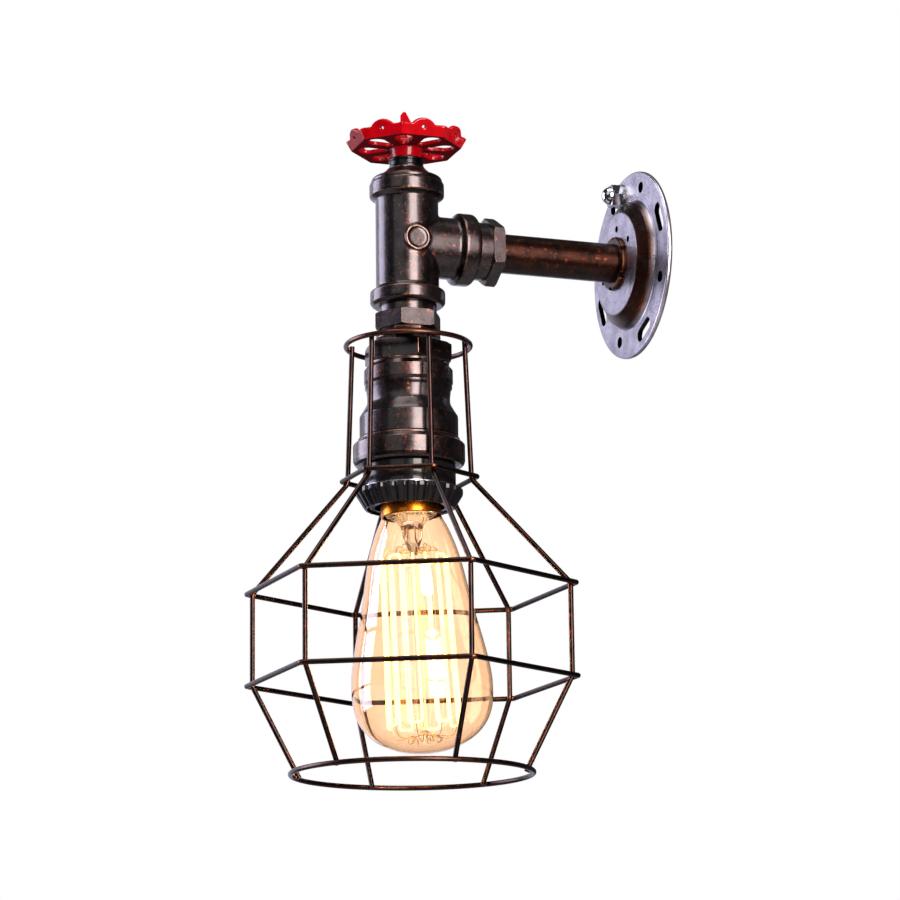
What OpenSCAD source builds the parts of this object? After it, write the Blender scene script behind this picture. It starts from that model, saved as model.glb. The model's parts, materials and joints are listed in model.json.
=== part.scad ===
// Pipe-fitting wall light with a valve handwheel on top and a wire cage round a long-life style bulb.
// Millimetres. Origin: centre of the wall plate's back face. +Y points into the wall, the lamp
// stands out along -Y, +Z is up. The lamp axis is the vertical line x = 0, y = -reach.

/* [Overall] */
// Distance from the wall to the lamp axis
reach = 115; // [95:1:140]
// Outside diameter of the arm pipe
pipe_d = 18.5; // [15:0.1:23]
// Wall of the arm pipe
pipe_wall = 1.85; // [1.4:0.05:2.2]

/* [Wall plate] */
// Diameter of the wall plate
plate_d = 89.6; // [75:0.2:110]
// Thickness of the sheet the plate is pressed from
plate_t = 2.4; // [2:0.1:3]
// Flat sheet left between the round fixing holes and the boss
boss_margin = 4.65; // [3:0.05:6]
// How far the boss's wall leans in from its foot to its face
boss_draw = 7.25; // [5:0.05:9]
// Height of the boss above the wall
boss_h = 9.6; // [9:0.1:12]
// Distance from the centre of a round fixing hole to the plate's edge
hole_edge = 7.4; // [6:0.1:9]
// Diameter of the round fixing holes
hole_d = 5.5; // [4.5:0.1:6]
// Angle of the first round hole from +X
hole_turn = 67; // [50:1:80]
// Width of the curved slots
slot_w = 6.4; // [6.2:0.1:6.8]
// Half the angle a curved slot's centre line covers
slot_half_angle = 7; // [6:0.5:10]
// Angle of the earth bolt from +X
stud_angle = 105; // [104:0.5:107]

/* [Tee] */
// End-to-end length of the tee's run
tee_run = 59.4; // [56:0.2:64]
// Diameter of the tee's body
tee_d = 29.3; // [24:0.1:36]
// How far the bands at the ends of the run stand proud of the body
bead_proud = 2.8; // [2:0.05:4]
// Height of each end band
bead_h = 8.4; // [7:0.1:10]
// How far the branch's band stands proud of the body
branch_bead_proud = 2.35; // [2:0.05:4]
// How far the branch's face stands out from the tee's body
branch_reach = 17.05; // [16:0.05:20]
// Diameter of the plain disc cast on each side of the tee
medallion_d = 12; // [9:0.5:13]

/* [Valve head] */
// Height of the bonnet's dome above the tee
dome_h = 6.4; // [5:0.1:8]
// Diameter of the gland nut
gland_d = 16.8; // [15:0.1:18]
// Corner-to-corner size of the handwheel's lower rim
wheel_rim_d = 51.2; // [46:0.2:56]
// Length of the wheel's wall up to the crown of each petal
wheel_h = 8.3; // [7:0.1:10]
// How far the wheel's rim stands above the foot of its hub
wheel_dish = 4.4; // [3:0.1:6]
// Outward lean of the wheel's wall
wheel_flare = 26; // [15:1:30]
// Angle of the handwheel about its spindle at rest
wheel_turn = -23.2; // [-45:0.1:45]

/* [Cage] */
// Diameter of the cage wire
wire_d = 2.4; // [2:0.1:2.8]
// Room between the cover's lower band and the centre line of the round ring at the cage's neck
neck_clear = 3; // [2.9:0.1:6]
// How much wider the six-sided ring below the neck is, centre line to corner
collar_spread = 2.8; // [2.5:0.1:6]
// Centre-line corner radius of the upper belly ring
upper_ring_r = 76; // [64:0.5:85]
// Centre-line corner radius of the lower belly ring
lower_ring_r = 76; // [64:0.5:85]
// Centre-line radius of the round ring at the open bottom
bottom_ring_r = 54.6; // [45:0.5:60]
// Depth of the cage's neck
neck_drop = 62.6; // [52:0.2:76]
// Drop from the collar ring to the upper belly ring
shoulder_drop = 50.7; // [42:0.5:60]
// Depth of the straight belly
belly_drop = 42.4; // [34:0.5:52]
// Drop from the lower belly ring to the bottom ring
leg_drop = 42; // [38:0.5:55]
// Turn of the cage about the lamp axis
cage_turn = 1.4; // [-10:0.2:10]

/* [Socket cover] */
// Wall of the socket cover at its waist
cover_wall = 2.4; // [1.6:0.1:3]
// How far the corners of the cover's top nut stand out from the waist
cover_nut_proud = 1.3; // [0.8:0.1:3]
// How far the upper band stands out from the waist
upper_band_proud = 0.8; // [0.6:0.1:2]
// How far the barrel stands out from the waist
barrel_proud = 3; // [2:0.1:4]
// How far the lower band stands out from the waist
lower_band_proud = 6; // [4.5:0.1:7]
// Height of the cover's top nut
cover_nut_h = 8.85; // [6:0.05:12]
// Height of the upper band
band_h = 10.8; // [8:0.1:14]
// Height of the waist
waist_h = 9.7; // [8:0.1:14]
// Height of the barrel
barrel_h = 15.1; // [10:0.1:18]
// Height of the lower band
flange_h = 12.6; // [9:0.1:15]
// Wall of the fluted shade ring at its top, outside the lampholder's thread
shade_ring_wall = 5.5; // [4:0.1:7]
// Number of flutes round the shade ring
flutes = 30; // [18:1:36]

/* [Bulb] */
// Greatest diameter of the glass
bulb_d = 64; // [58:0.5:70]
// Length from the centre contact to the foot of the glass
bulb_len = 135.8; // [126:0.2:142]
// Diameter over the cap's thread
cap_d = 26.2; // [21.8:0.1:31.6]
// How far the bulb hangs out of line with its holder
bulb_lean = 3; // [0:0.1:3.2]
// Number of filament strands
strands = 16; // [10:2:20]

/* [Hidden] */
$fn = 96;
eps = 0.05;            // working clearance between parts that screw or slide together
over = 1;              // overrun of a cutting tool
move_gap = 0.3;        // clearance to a part that moves

// colours of the preview
steel_c = [0.74, 0.73, 0.76];
chrome_c = [0.85, 0.87, 0.9];
bronze_c = [0.2, 0.12, 0.09];
copper_c = [0.42, 0.22, 0.13];
black_c = [0.08, 0.08, 0.09];
red_c = [0.78, 0.02, 0.06];
brass_c = [0.8, 0.55, 0.2];
ceramic_c = [0.9, 0.88, 0.83];
amber_c = [0.95, 0.72, 0.42, 0.35];
glow_c = [1, 0.85, 0.45];

// wall plate
plate_r = plate_d / 2;
pipe_r = pipe_d / 2;
hole_r = plate_r - hole_edge;
boss_base_r = hole_r - hole_d / 2 - boss_margin;
boss_face_r = boss_base_r - boss_draw;
pipe_bore = pipe_r - pipe_wall;
slot_turn = hole_turn - 45;
slot_r = hole_r + 0.6;
face_hole_angles = [30, 85, 197];
face_hole_d = 3.2;
stud_d = 5.8;
stud_head_d = 11;
stud_head_h = 1.2;
stud_len = 8.6;
washer_t = 1;
washer_d = 12;
cap_nut_af = 10;
face_nut_t = 2.6;
face_nut_r = pipe_r + 3.6;
face_hole_r = face_nut_r + 3.95;
rear_nut_af = pipe_d + 5.5;
rear_nut_t = 3.4;
pipe_end = 3;          // the pipe's end, measured from the wall
rear_nut_y = boss_h - plate_t;

// tee
run_half = tee_run / 2;
tee_r = tee_d / 2;
bead_r = tee_r + bead_proud;
branch_bead_r = tee_r + branch_bead_proud;
branch_len = tee_r + branch_reach;
tee_bore = tee_r - 2.6;
spigot_r = tee_bore - eps;
spigot_len = 11;
bush_collar_r = spigot_r + 1.6;
bush_collar_len = 6.3;
bush_hex_d = 2 * bush_collar_r + 6;
bush_hex_t = 5.6;
pipe_seat = branch_len - 2;
bush_end = branch_len + bush_collar_len + bush_hex_t;

// valve head
dome_r = bead_r - 0.9;
gland_h = 5.1;
neck_top = run_half + dome_h + gland_h;
gland_r = gland_d / 2;
spindle_r = 3.2;
spindle_sq = 5;
spindle_foot = run_half - 8;
rim_in = wheel_rim_d / 2 * cos(22.5);
wall_t = 2.2;
web_t = 2;
hub_r = 6.6;
hub_foot = neck_top + move_gap;
hub_spread = 1.6;
wheel_z = hub_foot + wheel_dish;
web_z = wheel_z + 0.4;
hub_top = wheel_z + 6.6;
wheel_nut_t = 3;
spindle_tip = wheel_z + 18.2;
window_in = hub_r + 4.3;
window_out = rim_in - 5.6;

// lower fittings
hex_d = 2 * spigot_r + 8;
hex_top = run_half + 3.8;
hex_t = 7.8;
disc_r = spigot_r + 3;
disc_t = 4.55;
disc_top = hex_top + hex_t;
strap_t = 1.5;
strap_w = 12;
nipple_r = 5;
nipple_bore = 3.5;
strap_z = -disc_top - disc_t - strap_t;
ring_top_z = strap_z - wire_d / 2 - eps;
cover_top = strap_z;

// radii that fit round each other, from the bulb's cap outwards
cap_r = cap_d / 2;
skirt_r = cap_r + 0.8;
neck_r = skirt_r - 0.6;
neck_bore = neck_r - 0.9;
shell_r = cap_r + 1;
shell_wall = 0.5;
holder_up_r = shell_r + 2.8;
holder_thread_r = skirt_r + 5.1;
holder_r = holder_thread_r + 2.3;
cover_bore = holder_up_r + 0.4;
waist_r = cover_bore + cover_wall;
lower_band_r = waist_r + lower_band_proud;

// cage
neck_ring_r = lower_band_r + neck_clear;
collar_ring_r = neck_ring_r + collar_spread;
collar_z = ring_top_z - neck_drop;
upper_z = collar_z - shoulder_drop;
lower_z = upper_z - belly_drop;
bottom_z = lower_z - leg_drop;
tuck = wire_d + eps;                  // ring centre line to the centre line of a wire inside it
corner_tuck = tuck / sin(60);         // the same, for a wire tucked into a corner
neck_top_r = neck_ring_r - tuck;
collar_r = collar_ring_r - corner_tuck;
upper_r = upper_ring_r - corner_tuck;
lower_r = lower_ring_r - corner_tuck;
leg_slope = (lower_r - (bottom_ring_r - tuck)) / leg_drop;
leg_tuck = tuck * sqrt(1 + leg_slope * leg_slope);
foot_r = bottom_ring_r - leg_tuck;
wire_top_z = ring_top_z + wire_d / 2;
wire_foot_z = bottom_z - wire_d / 2;
foot_end_r = foot_r - (lower_r - foot_r) / leg_drop * wire_d / 2;
bend_drop = 1.1;
path = [[neck_top_r, wire_top_z], [collar_r, collar_z - bend_drop], [upper_r, upper_z],
  [lower_r, lower_z], [foot_end_r, wire_foot_z]];

// socket cover, lampholder and bulb, hung one below the other
cn_neck = 1;
cn_foot = cover_top - cn_neck - cover_nut_h;
band_foot = cn_foot - band_h;
waist_foot = band_foot - waist_h;
barrel_foot = waist_foot - barrel_h;
flange_foot = barrel_foot - flange_h;
holder_top = flange_foot + 27.2;
thread_top = flange_foot - 10.3;
holder_foot = flange_foot - 19.1;
shell_foot = flange_foot - 13.6;
tip_z = flange_foot + 3.9;
washer2_t = 0.8;
ring_z = thread_top - washer2_t;
ring_h = 8.8;
ring_foot_r = holder_thread_r + 1.5;
ring_top_r = holder_thread_r + shade_ring_wall;
flute_d = 1.7;
shell_top = tip_z + 1.8;
ins_top = tip_z - 1;
cap_top = tip_z - 4;
skirt_z = tip_z - 20.4;
cap_foot = tip_z - 27.3;
pivot_z = tip_z - 13.5;
foot_z = tip_z - bulb_len;
lean_az = 70.4;
glass_t = 0.8;
bulb_r = bulb_d / 2;
glass_h = cap_foot - foot_z;
stem_foot = cap_foot - 0.9 * glass_h;
loop_top = cap_foot - 0.18 * glass_h;
loop_foot = cap_foot - 0.885 * glass_h;
loop_r_top = bulb_r - 17;
loop_r_foot = bulb_r - 15.5;
strand_d = 0.7;

function lamp_unit(v) = v / norm(v);
function turned(v) = [-v[1], v[0]];
// direction of the mitre line where the wire path bends at point i
function mitre(i) = turned(lamp_unit(lamp_unit(path[i] - path[i - 1]) + lamp_unit(path[i + 1] - path[i])));
function cut_line(i) = (i == 0 || i == len(path) - 1) ? [1, 0] : mitre(i);

module on_wall() { rotate([90, 0, 0]) children(); }
module on_lamp() { translate([0, -reach, 0]) children(); }
// the bulb's own frame: it hangs a little out of line in its holder
module on_bulb() {
  on_lamp() translate([0, 0, pivot_z]) rotate(a = bulb_lean, v = [sin(lean_az), -cos(lean_az), 0])
    translate([0, 0, -pivot_z]) children();
}
module hex(across_corners, h) { cylinder(d = across_corners, h = h, $fn = 6); }
// hexagon bar with its corners turned off at both ends
module chamfered_hex(corner_d, h, cham) {
  intersection() {
    hex(corner_d, h);
    rotate_extrude() polygon([[0, 0], [corner_d / 2 - cham, 0], [corner_d / 2, cham * 0.6],
      [corner_d / 2, h - cham * 0.6], [corner_d / 2 - cham, h], [0, h]]);
  }
}
// one solid of revolution from radius/height pairs
module turned_part(points) { rotate_extrude() polygon(points); }

module wall_plate() {
  color(steel_c) on_wall() difference() {
    turned_part([[plate_r, 0], [plate_r, plate_t - 0.8], [plate_r - 0.8, plate_t],
      [boss_base_r + 1.6, plate_t], [boss_base_r + 0.3, plate_t + 0.5], [boss_base_r - 0.6, plate_t + 1.6],
      [boss_face_r + 2.6, boss_h - 2.6], [boss_face_r + 1.6, boss_h - 1], [boss_face_r, boss_h],
      [pipe_r + eps, boss_h], [pipe_r + eps, boss_h - plate_t], [boss_face_r - 0.6, boss_h - plate_t],
      [boss_base_r - 2.6, 0]]);
    for (i = [0:3]) {
      rotate(hole_turn + 90 * i) translate([hole_r, 0, -over])
        cylinder(d = hole_d, h = plate_t + 2 * over, $fn = 48);
      rotate(slot_turn + 90 * i) curved_slot();
    }
    for (a = face_hole_angles) rotate(a) translate([face_hole_r, 0, -over])
      cylinder(d = face_hole_d, h = boss_h + 2 * over, $fn = 32);
    rotate(stud_angle) translate([slot_r, 0, -over])
      cylinder(d = stud_head_d + 2 * eps, h = stud_head_h + over, $fn = 48);
  }
}
module curved_slot() {
  translate([0, 0, -over]) {
    rotate(-slot_half_angle) rotate_extrude(angle = 2 * slot_half_angle)
      translate([slot_r - slot_w / 2, 0]) square([slot_w, plate_t + 2 * over]);
    for (s = [-1, 1]) rotate(s * slot_half_angle) translate([slot_r, 0, 0])
      cylinder(d = slot_w, h = plate_t + 2 * over, $fn = 48);
  }
}
module face_nut() {
  color(steel_c) on_wall() translate([0, 0, boss_h]) difference() {
    turned_part([[pipe_r + eps, 0], [face_nut_r, 0], [face_nut_r, face_nut_t - 0.7],
      [face_nut_r - 0.7, face_nut_t], [pipe_r + eps, face_nut_t]]);
    for (i = [0:5]) rotate(20 + 60 * i) translate([face_nut_r, 0, 0])
      cube([3, 3, 4 * face_nut_t], center = true);
  }
}
module rear_nut() {
  color(bronze_c) on_wall() translate([0, 0, rear_nut_y - rear_nut_t]) difference() {
    hex(rear_nut_af / cos(30), rear_nut_t);
    translate([0, 0, -over]) cylinder(r = pipe_r + eps, h = rear_nut_t + 2 * over);
  }
}
module at_stud() { on_wall() rotate(stud_angle) translate([slot_r, 0, 0]) children(); }
module earth_bolt() {
  color(steel_c) at_stud() {
    cylinder(d = stud_head_d, h = stud_head_h, $fn = 48);
    cylinder(d = stud_d, h = stud_len, $fn = 48);
  }
}
module earth_washer() {
  color(steel_c) at_stud() translate([0, 0, plate_t]) difference() {
    cylinder(d = washer_d, h = washer_t, $fn = 48);
    translate([0, 0, -over]) cylinder(d = stud_d + 2 * eps, h = washer_t + 2 * over, $fn = 48);
  }
}
module cap_nut() {
  nut_foot = plate_t + washer_t;
  nut_h = 4.6;
  dome_rad = 4.3;
  color(chrome_c) at_stud() translate([0, 0, nut_foot]) difference() {
    union() {
      rotate(12) chamfered_hex(cap_nut_af / cos(30), nut_h, 0.7);
      translate([0, 0, nut_h - 0.4]) intersection() {
        sphere(r = dome_rad, $fn = 64);
        cylinder(r = dome_rad + over, h = dome_rad + over);
      }
    }
    translate([0, 0, -over]) cylinder(d = stud_d + 2 * eps, h = stud_len - nut_foot + over, $fn = 48);
  }
}
module arm_pipe() {
  color(copper_c) on_wall() translate([0, 0, pipe_end]) difference() {
    cylinder(r = pipe_r, h = reach - pipe_seat - pipe_end);
    translate([0, 0, -over]) cylinder(r = pipe_bore, h = reach);
  }
}
module on_branch() { on_lamp() rotate([-90, 0, 0]) children(); }
module arm_bushing() {
  color(bronze_c) on_branch() difference() {
    union() {
      translate([0, 0, branch_len - spigot_len]) cylinder(r = spigot_r, h = spigot_len);
      translate([0, 0, branch_len]) cylinder(r = bush_collar_r, h = bush_collar_len);
      translate([0, 0, branch_len + bush_collar_len]) rotate(30) chamfered_hex(bush_hex_d, bush_hex_t, 1);
    }
    translate([0, 0, pipe_seat]) cylinder(r = pipe_r + eps, h = bush_end);
    cylinder(r = pipe_bore, h = bush_end + over);
  }
}
module tee() {
  cham = 1.4;
  top_cham = 0.8;
  step = bead_r - tee_r;
  color(bronze_c) on_lamp() difference() {
    union() {
      turned_part([[0, -run_half], [bead_r - cham, -run_half], [bead_r, -run_half + cham],
        [bead_r, -run_half + bead_h - step * 0.6], [tee_r, -run_half + bead_h],
        [tee_r, run_half - bead_h], [bead_r, run_half - bead_h + step * 0.6],
        [bead_r, run_half - top_cham], [bead_r - top_cham, run_half], [0, run_half]]);
      rotate([-90, 0, 0]) turned_part([[0, 0], [tee_r - 0.2, 0], [tee_r - 0.2, branch_len - bead_h - 1.2],
        [branch_bead_r, branch_len - bead_h + 0.4], [branch_bead_r, branch_len - cham],
        [branch_bead_r - cham, branch_len], [0, branch_len]]);
      for (s = [-1, 1]) rotate([0, 90 * s, 0]) cylinder(d = medallion_d, h = tee_r + 0.7, $fn = 64);
    }
    cylinder(r = tee_bore, h = tee_run + 2 * over, center = true);
    rotate([-90, 0, 0]) cylinder(r = tee_bore, h = branch_len + over);
    for (s = [-1, 1]) rotate([0, 90 * s, 0]) translate([0, 0, tee_r + 0.1])
      cylinder(d = medallion_d - 2, h = over, $fn = 64);
  }
}
module bonnet() {
  top_r = gland_r + 1;
  color(bronze_c) on_lamp() translate([0, 0, run_half]) turned_part([[spindle_r + eps, dome_h],
    [top_r, dome_h], [top_r + 0.9, dome_h - 0.9], [dome_r - 4.65, dome_h - 2.2],
    [dome_r - 3.35, dome_h - 3.6],
    [dome_r - 1, dome_h - 5], [dome_r, dome_h - 6], [dome_r, 0], [spigot_r, 0], [spigot_r, -8], [5.6, -8],
    [5.6, 2], [spindle_r + eps, 2]]);
}
module gland_nut() {
  color(black_c) on_lamp() translate([0, 0, run_half + dome_h]) turned_part([[spindle_r + eps, 0],
    [gland_r, 0], [gland_r, gland_h - 0.6], [gland_r - 0.6, gland_h], [spindle_r + eps, gland_h]]);
}
module spindle() {
  collar_h = 2.4;
  point_h = 5;
  sq_top = spindle_tip - point_h;
  color(red_c) on_lamp() rotate(wheel_turn) {
    translate([0, 0, spindle_foot]) cylinder(r = spindle_r, h = hub_foot - spindle_foot);
    translate([0, 0, run_half - 1]) cylinder(r = 5.2, h = collar_h);
    translate([-spindle_sq / 2, -spindle_sq / 2, hub_foot]) cube([spindle_sq, spindle_sq, sq_top - hub_foot]);
    translate([0, 0, sq_top]) spindle_point(point_h);
  }
}
// end of the spindle, filed to a point with one long slope and one short one
module spindle_point(h) {
  half = spindle_sq / 2;
  translate([-half, 0, 0]) rotate([90, 0, 90]) linear_extrude(spindle_sq)
    polygon([[-half, 0], [half, 0], [0, h], [-half * 0.5, h], [-half, h * 0.66]]);
}
module handwheel() {
  color(red_c) on_lamp() rotate(wheel_turn) difference() {
    union() {
      for (i = [0:7]) rotate(45 * i + 22.5) wheel_petal();
      difference() {
        translate([0, 0, web_z]) cylinder(r = rim_in - 0.3, h = web_t);
        for (i = [0:7]) rotate(45 * i) translate([0, 0, web_z - over]) wheel_window();
      }
      turned_part([[0, hub_foot], [hub_r, hub_foot], [hub_r + hub_spread, web_z + web_t],
        [hub_r, web_z + web_t + hub_spread], [hub_r, hub_top], [0, hub_top]]);
    }
    translate([-spindle_sq / 2 - eps, -spindle_sq / 2 - eps, hub_foot - over])
      cube([spindle_sq + 2 * eps, spindle_sq + 2 * eps, 4 * wheel_h]);
  }
}
// rounded opening between two spokes
module wheel_window() {
  small_r = 1.9;
  large_r = 4.2;
  linear_extrude(web_t + 2 * over) union() {
    translate([window_in, 0]) circle(r = small_r, $fn = 32);
    translate([window_out, 0]) circle(r = large_r, $fn = 32);
    polygon([[window_in, -small_r], [window_out, -large_r], [window_out, large_r], [window_in, small_r]]);
  }
}
// one flared side of the eight-sided wheel with its rounded crown and small hole
module wheel_petal() {
  half = rim_in * tan(22.5);
  valley = wheel_h - 2.9;
  crown_r = 6.8;
  translate([rim_in, 0, wheel_z]) rotate([0, wheel_flare, 0]) translate([-wall_t, 0, 0]) rotate([90, 0, 90])
    difference() {
      linear_extrude(wall_t) union() {
        polygon([[-half, 0], [half, 0], [half + 1.6, valley], [-half - 1.6, valley]]);
        intersection() {
          translate([0, wheel_h - crown_r]) circle(r = crown_r, $fn = 64);
          translate([-8, 0]) square([16, wheel_h]);
        }
      }
      translate([0, valley - 1.2, -over]) cylinder(d = 1.6, h = wall_t + 2 * over, $fn = 24);
    }
}
module wheel_nut() {
  color(red_c) on_lamp() rotate(wheel_turn) translate([0, 0, hub_top]) difference() {
    chamfered_hex(11, wheel_nut_t, 0.6);
    cube([spindle_sq + 2 * eps, spindle_sq + 2 * eps, 4 * wheel_nut_t], center = true);
  }
}
module lower_bushing() {
  color(bronze_c) on_lamp() difference() {
    union() {
      translate([0, 0, -run_half]) cylinder(r = spigot_r, h = spigot_len);
      translate([0, 0, -hex_top]) cylinder(r = bush_collar_r - 0.2, h = hex_top - run_half);
      translate([0, 0, -disc_top]) rotate(30) chamfered_hex(hex_d, hex_t, 1);
    }
    translate([0, 0, -disc_top - over]) cylinder(r = nipple_r + eps, h = disc_top, $fn = 48);
  }
}
module nipple() {
  top_z = -run_half + 4;
  foot = holder_top - 4;
  color(steel_c) on_lamp() translate([0, 0, foot]) difference() {
    cylinder(r = nipple_r, h = top_z - foot, $fn = 48);
    translate([0, 0, -over]) cylinder(r = nipple_bore, h = top_z - foot + 2 * over, $fn = 48);
  }
}
module clamp_disc() {
  color(copper_c) on_lamp() translate([0, 0, strap_z + strap_t])
    turned_part([[nipple_r + eps, 0], [disc_r, 0], [disc_r, 1.6], [disc_r - 1.4, disc_t],
      [nipple_r + eps, disc_t]]);
}
module cage_strap() {
  half = neck_ring_r + wire_d / 2 - 0.4;
  color(bronze_c) on_lamp() rotate(cage_turn - 21) translate([0, 0, strap_z]) difference() {
    intersection() {
      translate([-half, -strap_w / 2, 0]) cube([2 * half, strap_w, strap_t]);
      cylinder(r = half, h = strap_t);
    }
    translate([0, 0, -over]) cylinder(r = nipple_r + eps, h = strap_t + 2 * over, $fn = 48);
  }
}
module round_ring(r, z) {
  color(copper_c) on_lamp() translate([0, 0, z]) rotate_extrude($fn = 144) translate([r, 0])
    circle(d = wire_d, $fn = 32);
}
// six-sided ring of round wire, a little upset at its corners
module six_ring(r, z) {
  color(copper_c) on_lamp() rotate(cage_turn) translate([0, 0, z]) for (i = [0:5]) rotate(60 * i) {
    translate([r, 0, 0]) sphere(d = wire_d * 1.06, $fn = 32);
    translate([r, 0, 0]) rotate([0, 90, 120]) cylinder(d = wire_d, h = r, $fn = 32);
  }
}
module neck_ring() { round_ring(neck_ring_r, ring_top_z); }
module collar_ring() { six_ring(collar_ring_r, collar_z); }
module upper_ring() { six_ring(upper_ring_r, upper_z); }
module lower_ring() { six_ring(lower_ring_r, lower_z); }
module bottom_ring() { round_ring(bottom_ring_r, bottom_z); }
// straight stretch i of the six bent wires, mitred where the wire bends
module wire_stretch(i) {
  p = path[i];
  q = path[i + 1];
  mp = 4 * wire_d * cut_line(i);
  mq = 4 * wire_d * cut_line(i + 1);
  dir = lamp_unit(q - p);
  slant = atan2(dir[0], dir[1]);
  run = norm(q - p);
  ext = 3 * wire_d;
  color(copper_c) on_lamp() for (k = [0:5]) rotate(cage_turn + 60 * k) intersection() {
    translate([p[0], 0, p[1]]) rotate([0, slant, 0]) translate([0, 0, -ext])
      cylinder(d = wire_d, h = run + 2 * ext, $fn = 32);
    translate([0, 2 * wire_d, 0]) rotate([90, 0, 0]) linear_extrude(4 * wire_d)
      polygon([p - mp, p + mp, q + mq, q - mq]);
  }
}
module neck_wires() { wire_stretch(0); }
module shoulder_wires() { wire_stretch(1); }
module belly_wires() { wire_stretch(2); }
module leg_wires() { wire_stretch(3); }
module cover_nut() {
  h = cover_nut_h;
  color(bronze_c) on_lamp() difference() {
    union() {
      translate([0, 0, cn_foot]) rotate(-6.8) chamfered_hex(2 * (waist_r + cover_nut_proud), h, 1.6);
      translate([0, 0, cn_foot + h]) cylinder(r = disc_r - 0.4, h = cn_neck);
    }
    translate([0, 0, cn_foot - over]) cylinder(r = nipple_r + eps, h = h + cn_neck + 2 * over, $fn = 48);
  }
}
module cover_band() {
  r = waist_r + upper_band_proud;
  h = band_h;
  color(copper_c) on_lamp() translate([0, 0, band_foot]) turned_part([[cover_bore, 0], [r - 0.9, 0],
    [r, 1.6], [r, h - 3.4], [r - 1.6, h - 1.4], [r - 1.6, h], [cover_bore, h]]);
}
module cover_barrel() {
  w = waist_r;
  b = waist_r + barrel_proud;
  h = waist_h + barrel_h;
  mid = barrel_h;
  color(bronze_c) on_lamp() translate([0, 0, barrel_foot]) turned_part([[cover_bore, 0], [b, 0], [b, mid - 5],
    [b - 1, mid - 3.2], [w + 0.6, mid - 1], [w - 0.5, mid + 1.4], [w - 0.7, mid + 4], [w - 0.2, h - 2],
    [w + 0.4, h - 1], [w + 0.4, h], [cover_bore, h]]);
}
module cover_flange() {
  r = lower_band_r;
  h = flange_h;
  color(copper_c) on_lamp() translate([0, 0, flange_foot])
    turned_part([[cover_bore, 0], [r - 1.6, 0], [r - 0.5, 1], [r, 2.4], [r, h - 3], [r - 0.5, h - 2.4],
      [r - 2.2, h - 1], [r - 2.2, h], [cover_bore, h]]);
}
module nipple_nut() {
  color(steel_c) on_lamp() translate([0, 0, holder_top]) difference() {
    hex(16, 3);
    translate([0, 0, -over]) cylinder(r = nipple_r + eps, h = 3 + 2 * over, $fn = 48);
  }
}
module holder_body() {
  color(black_c) on_lamp() turned_part([[nipple_r + eps, holder_top], [holder_up_r - 1, holder_top],
    [holder_up_r, holder_top - 1], [holder_up_r, flange_foot], [holder_r, flange_foot],
    [holder_r, thread_top], [holder_thread_r, thread_top], [holder_thread_r, holder_foot],
    [skirt_r + 2.2, holder_foot], [skirt_r + 2.2, shell_foot], [shell_r + shell_wall + eps, shell_foot],
    [shell_r + shell_wall + eps, holder_top - 3.4], [nipple_r + eps, holder_top - 3.4]]);
}
module holder_block() {
  block_h = 12;
  color(ceramic_c) on_lamp() translate([0, 0, shell_top + 0.8]) difference() {
    cylinder(r = shell_r + shell_wall, h = block_h);
    for (s = [-1, 1]) {
      translate([9.5 * s, 0, block_h - 6]) cylinder(d = 5.4, h = 6 + over, $fn = 32);
      translate([4 * s, 6.5, -over]) cylinder(d = 3, h = block_h + 2 * over, $fn = 32);
    }
  }
}
module terminal_screws() {
  color(brass_c) on_lamp() for (s = [-1, 1]) translate([9.5 * s, 0, shell_top + 6.8]) difference() {
    union() {
      cylinder(d = 5, h = 2, $fn = 32);
      translate([0, 0, 2]) cylinder(d = 4.2, h = 3, $fn = 32);
    }
    translate([0, 0, 5]) cube([6, 0.8, 1.6], center = true);
  }
}
module screw_shell() {
  h = shell_top + 0.8 - shell_foot;
  color(brass_c) on_lamp() translate([0, 0, shell_foot]) difference() {
    cylinder(r = shell_r + shell_wall, h = h);
    translate([0, 0, -over]) cylinder(r = shell_r, h = h - 0.8 + over);
    cylinder(r = 8, h = 2 * h);
  }
}
module centre_contact() {
  gap = 0.4;
  color(brass_c) on_lamp() translate([0, 0, tip_z + gap]) {
    cylinder(d = 7, h = shell_top + 0.8 - tip_z - gap, $fn = 32);
  }
}
module ring_washer() {
  color(steel_c) on_lamp() translate([0, 0, ring_z]) difference() {
    cylinder(r = holder_r + 1, h = washer2_t - eps);
    translate([0, 0, -over]) cylinder(r = holder_thread_r + move_gap, h = washer2_t + 2 * over);
  }
}
module shade_ring() {
  slope = atan2(ring_top_r - ring_foot_r, ring_h - 2);
  color(black_c) on_lamp() translate([0, 0, ring_z - ring_h]) difference() {
    turned_part([[holder_thread_r + move_gap, ring_h], [holder_thread_r + move_gap, 0], [ring_foot_r, 0],
      [ring_top_r, ring_h - 2], [ring_top_r, ring_h - 0.7], [ring_top_r - 0.7, ring_h]]);
    for (i = [0:flutes - 1]) rotate(360 / flutes * i) translate([ring_foot_r, 0, 0])
      rotate([0, slope, 0]) translate([flute_d * 0.28, 0, 0])
        cylinder(d = flute_d, h = 4 * ring_h, center = true, $fn = 24);
  }
}
module bulb_cap() {
  h = 0.45;
  color(brass_c) on_bulb() turned_part([[cap_r - 4, cap_top], [cap_r - 1.2, cap_top], [cap_r, cap_top - 1.6],
    [cap_r, skirt_z], [skirt_r, skirt_z - 1], [skirt_r, cap_foot], [skirt_r - h, cap_foot],
    [skirt_r - h, skirt_z - 1.4], [cap_r - h, skirt_z - 0.4], [cap_r - h, cap_top - 1.8],
    [cap_r - 1.4, cap_top - h], [cap_r - 4, cap_top - h]]);
}
module bulb_insulator() {
  color(black_c) on_bulb() turned_part([[2.2, ins_top], [4, ins_top], [cap_r - 4.05, cap_top],
    [cap_r - 4.05, cap_top - 1], [2.2, cap_top - 1]]);
}
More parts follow.
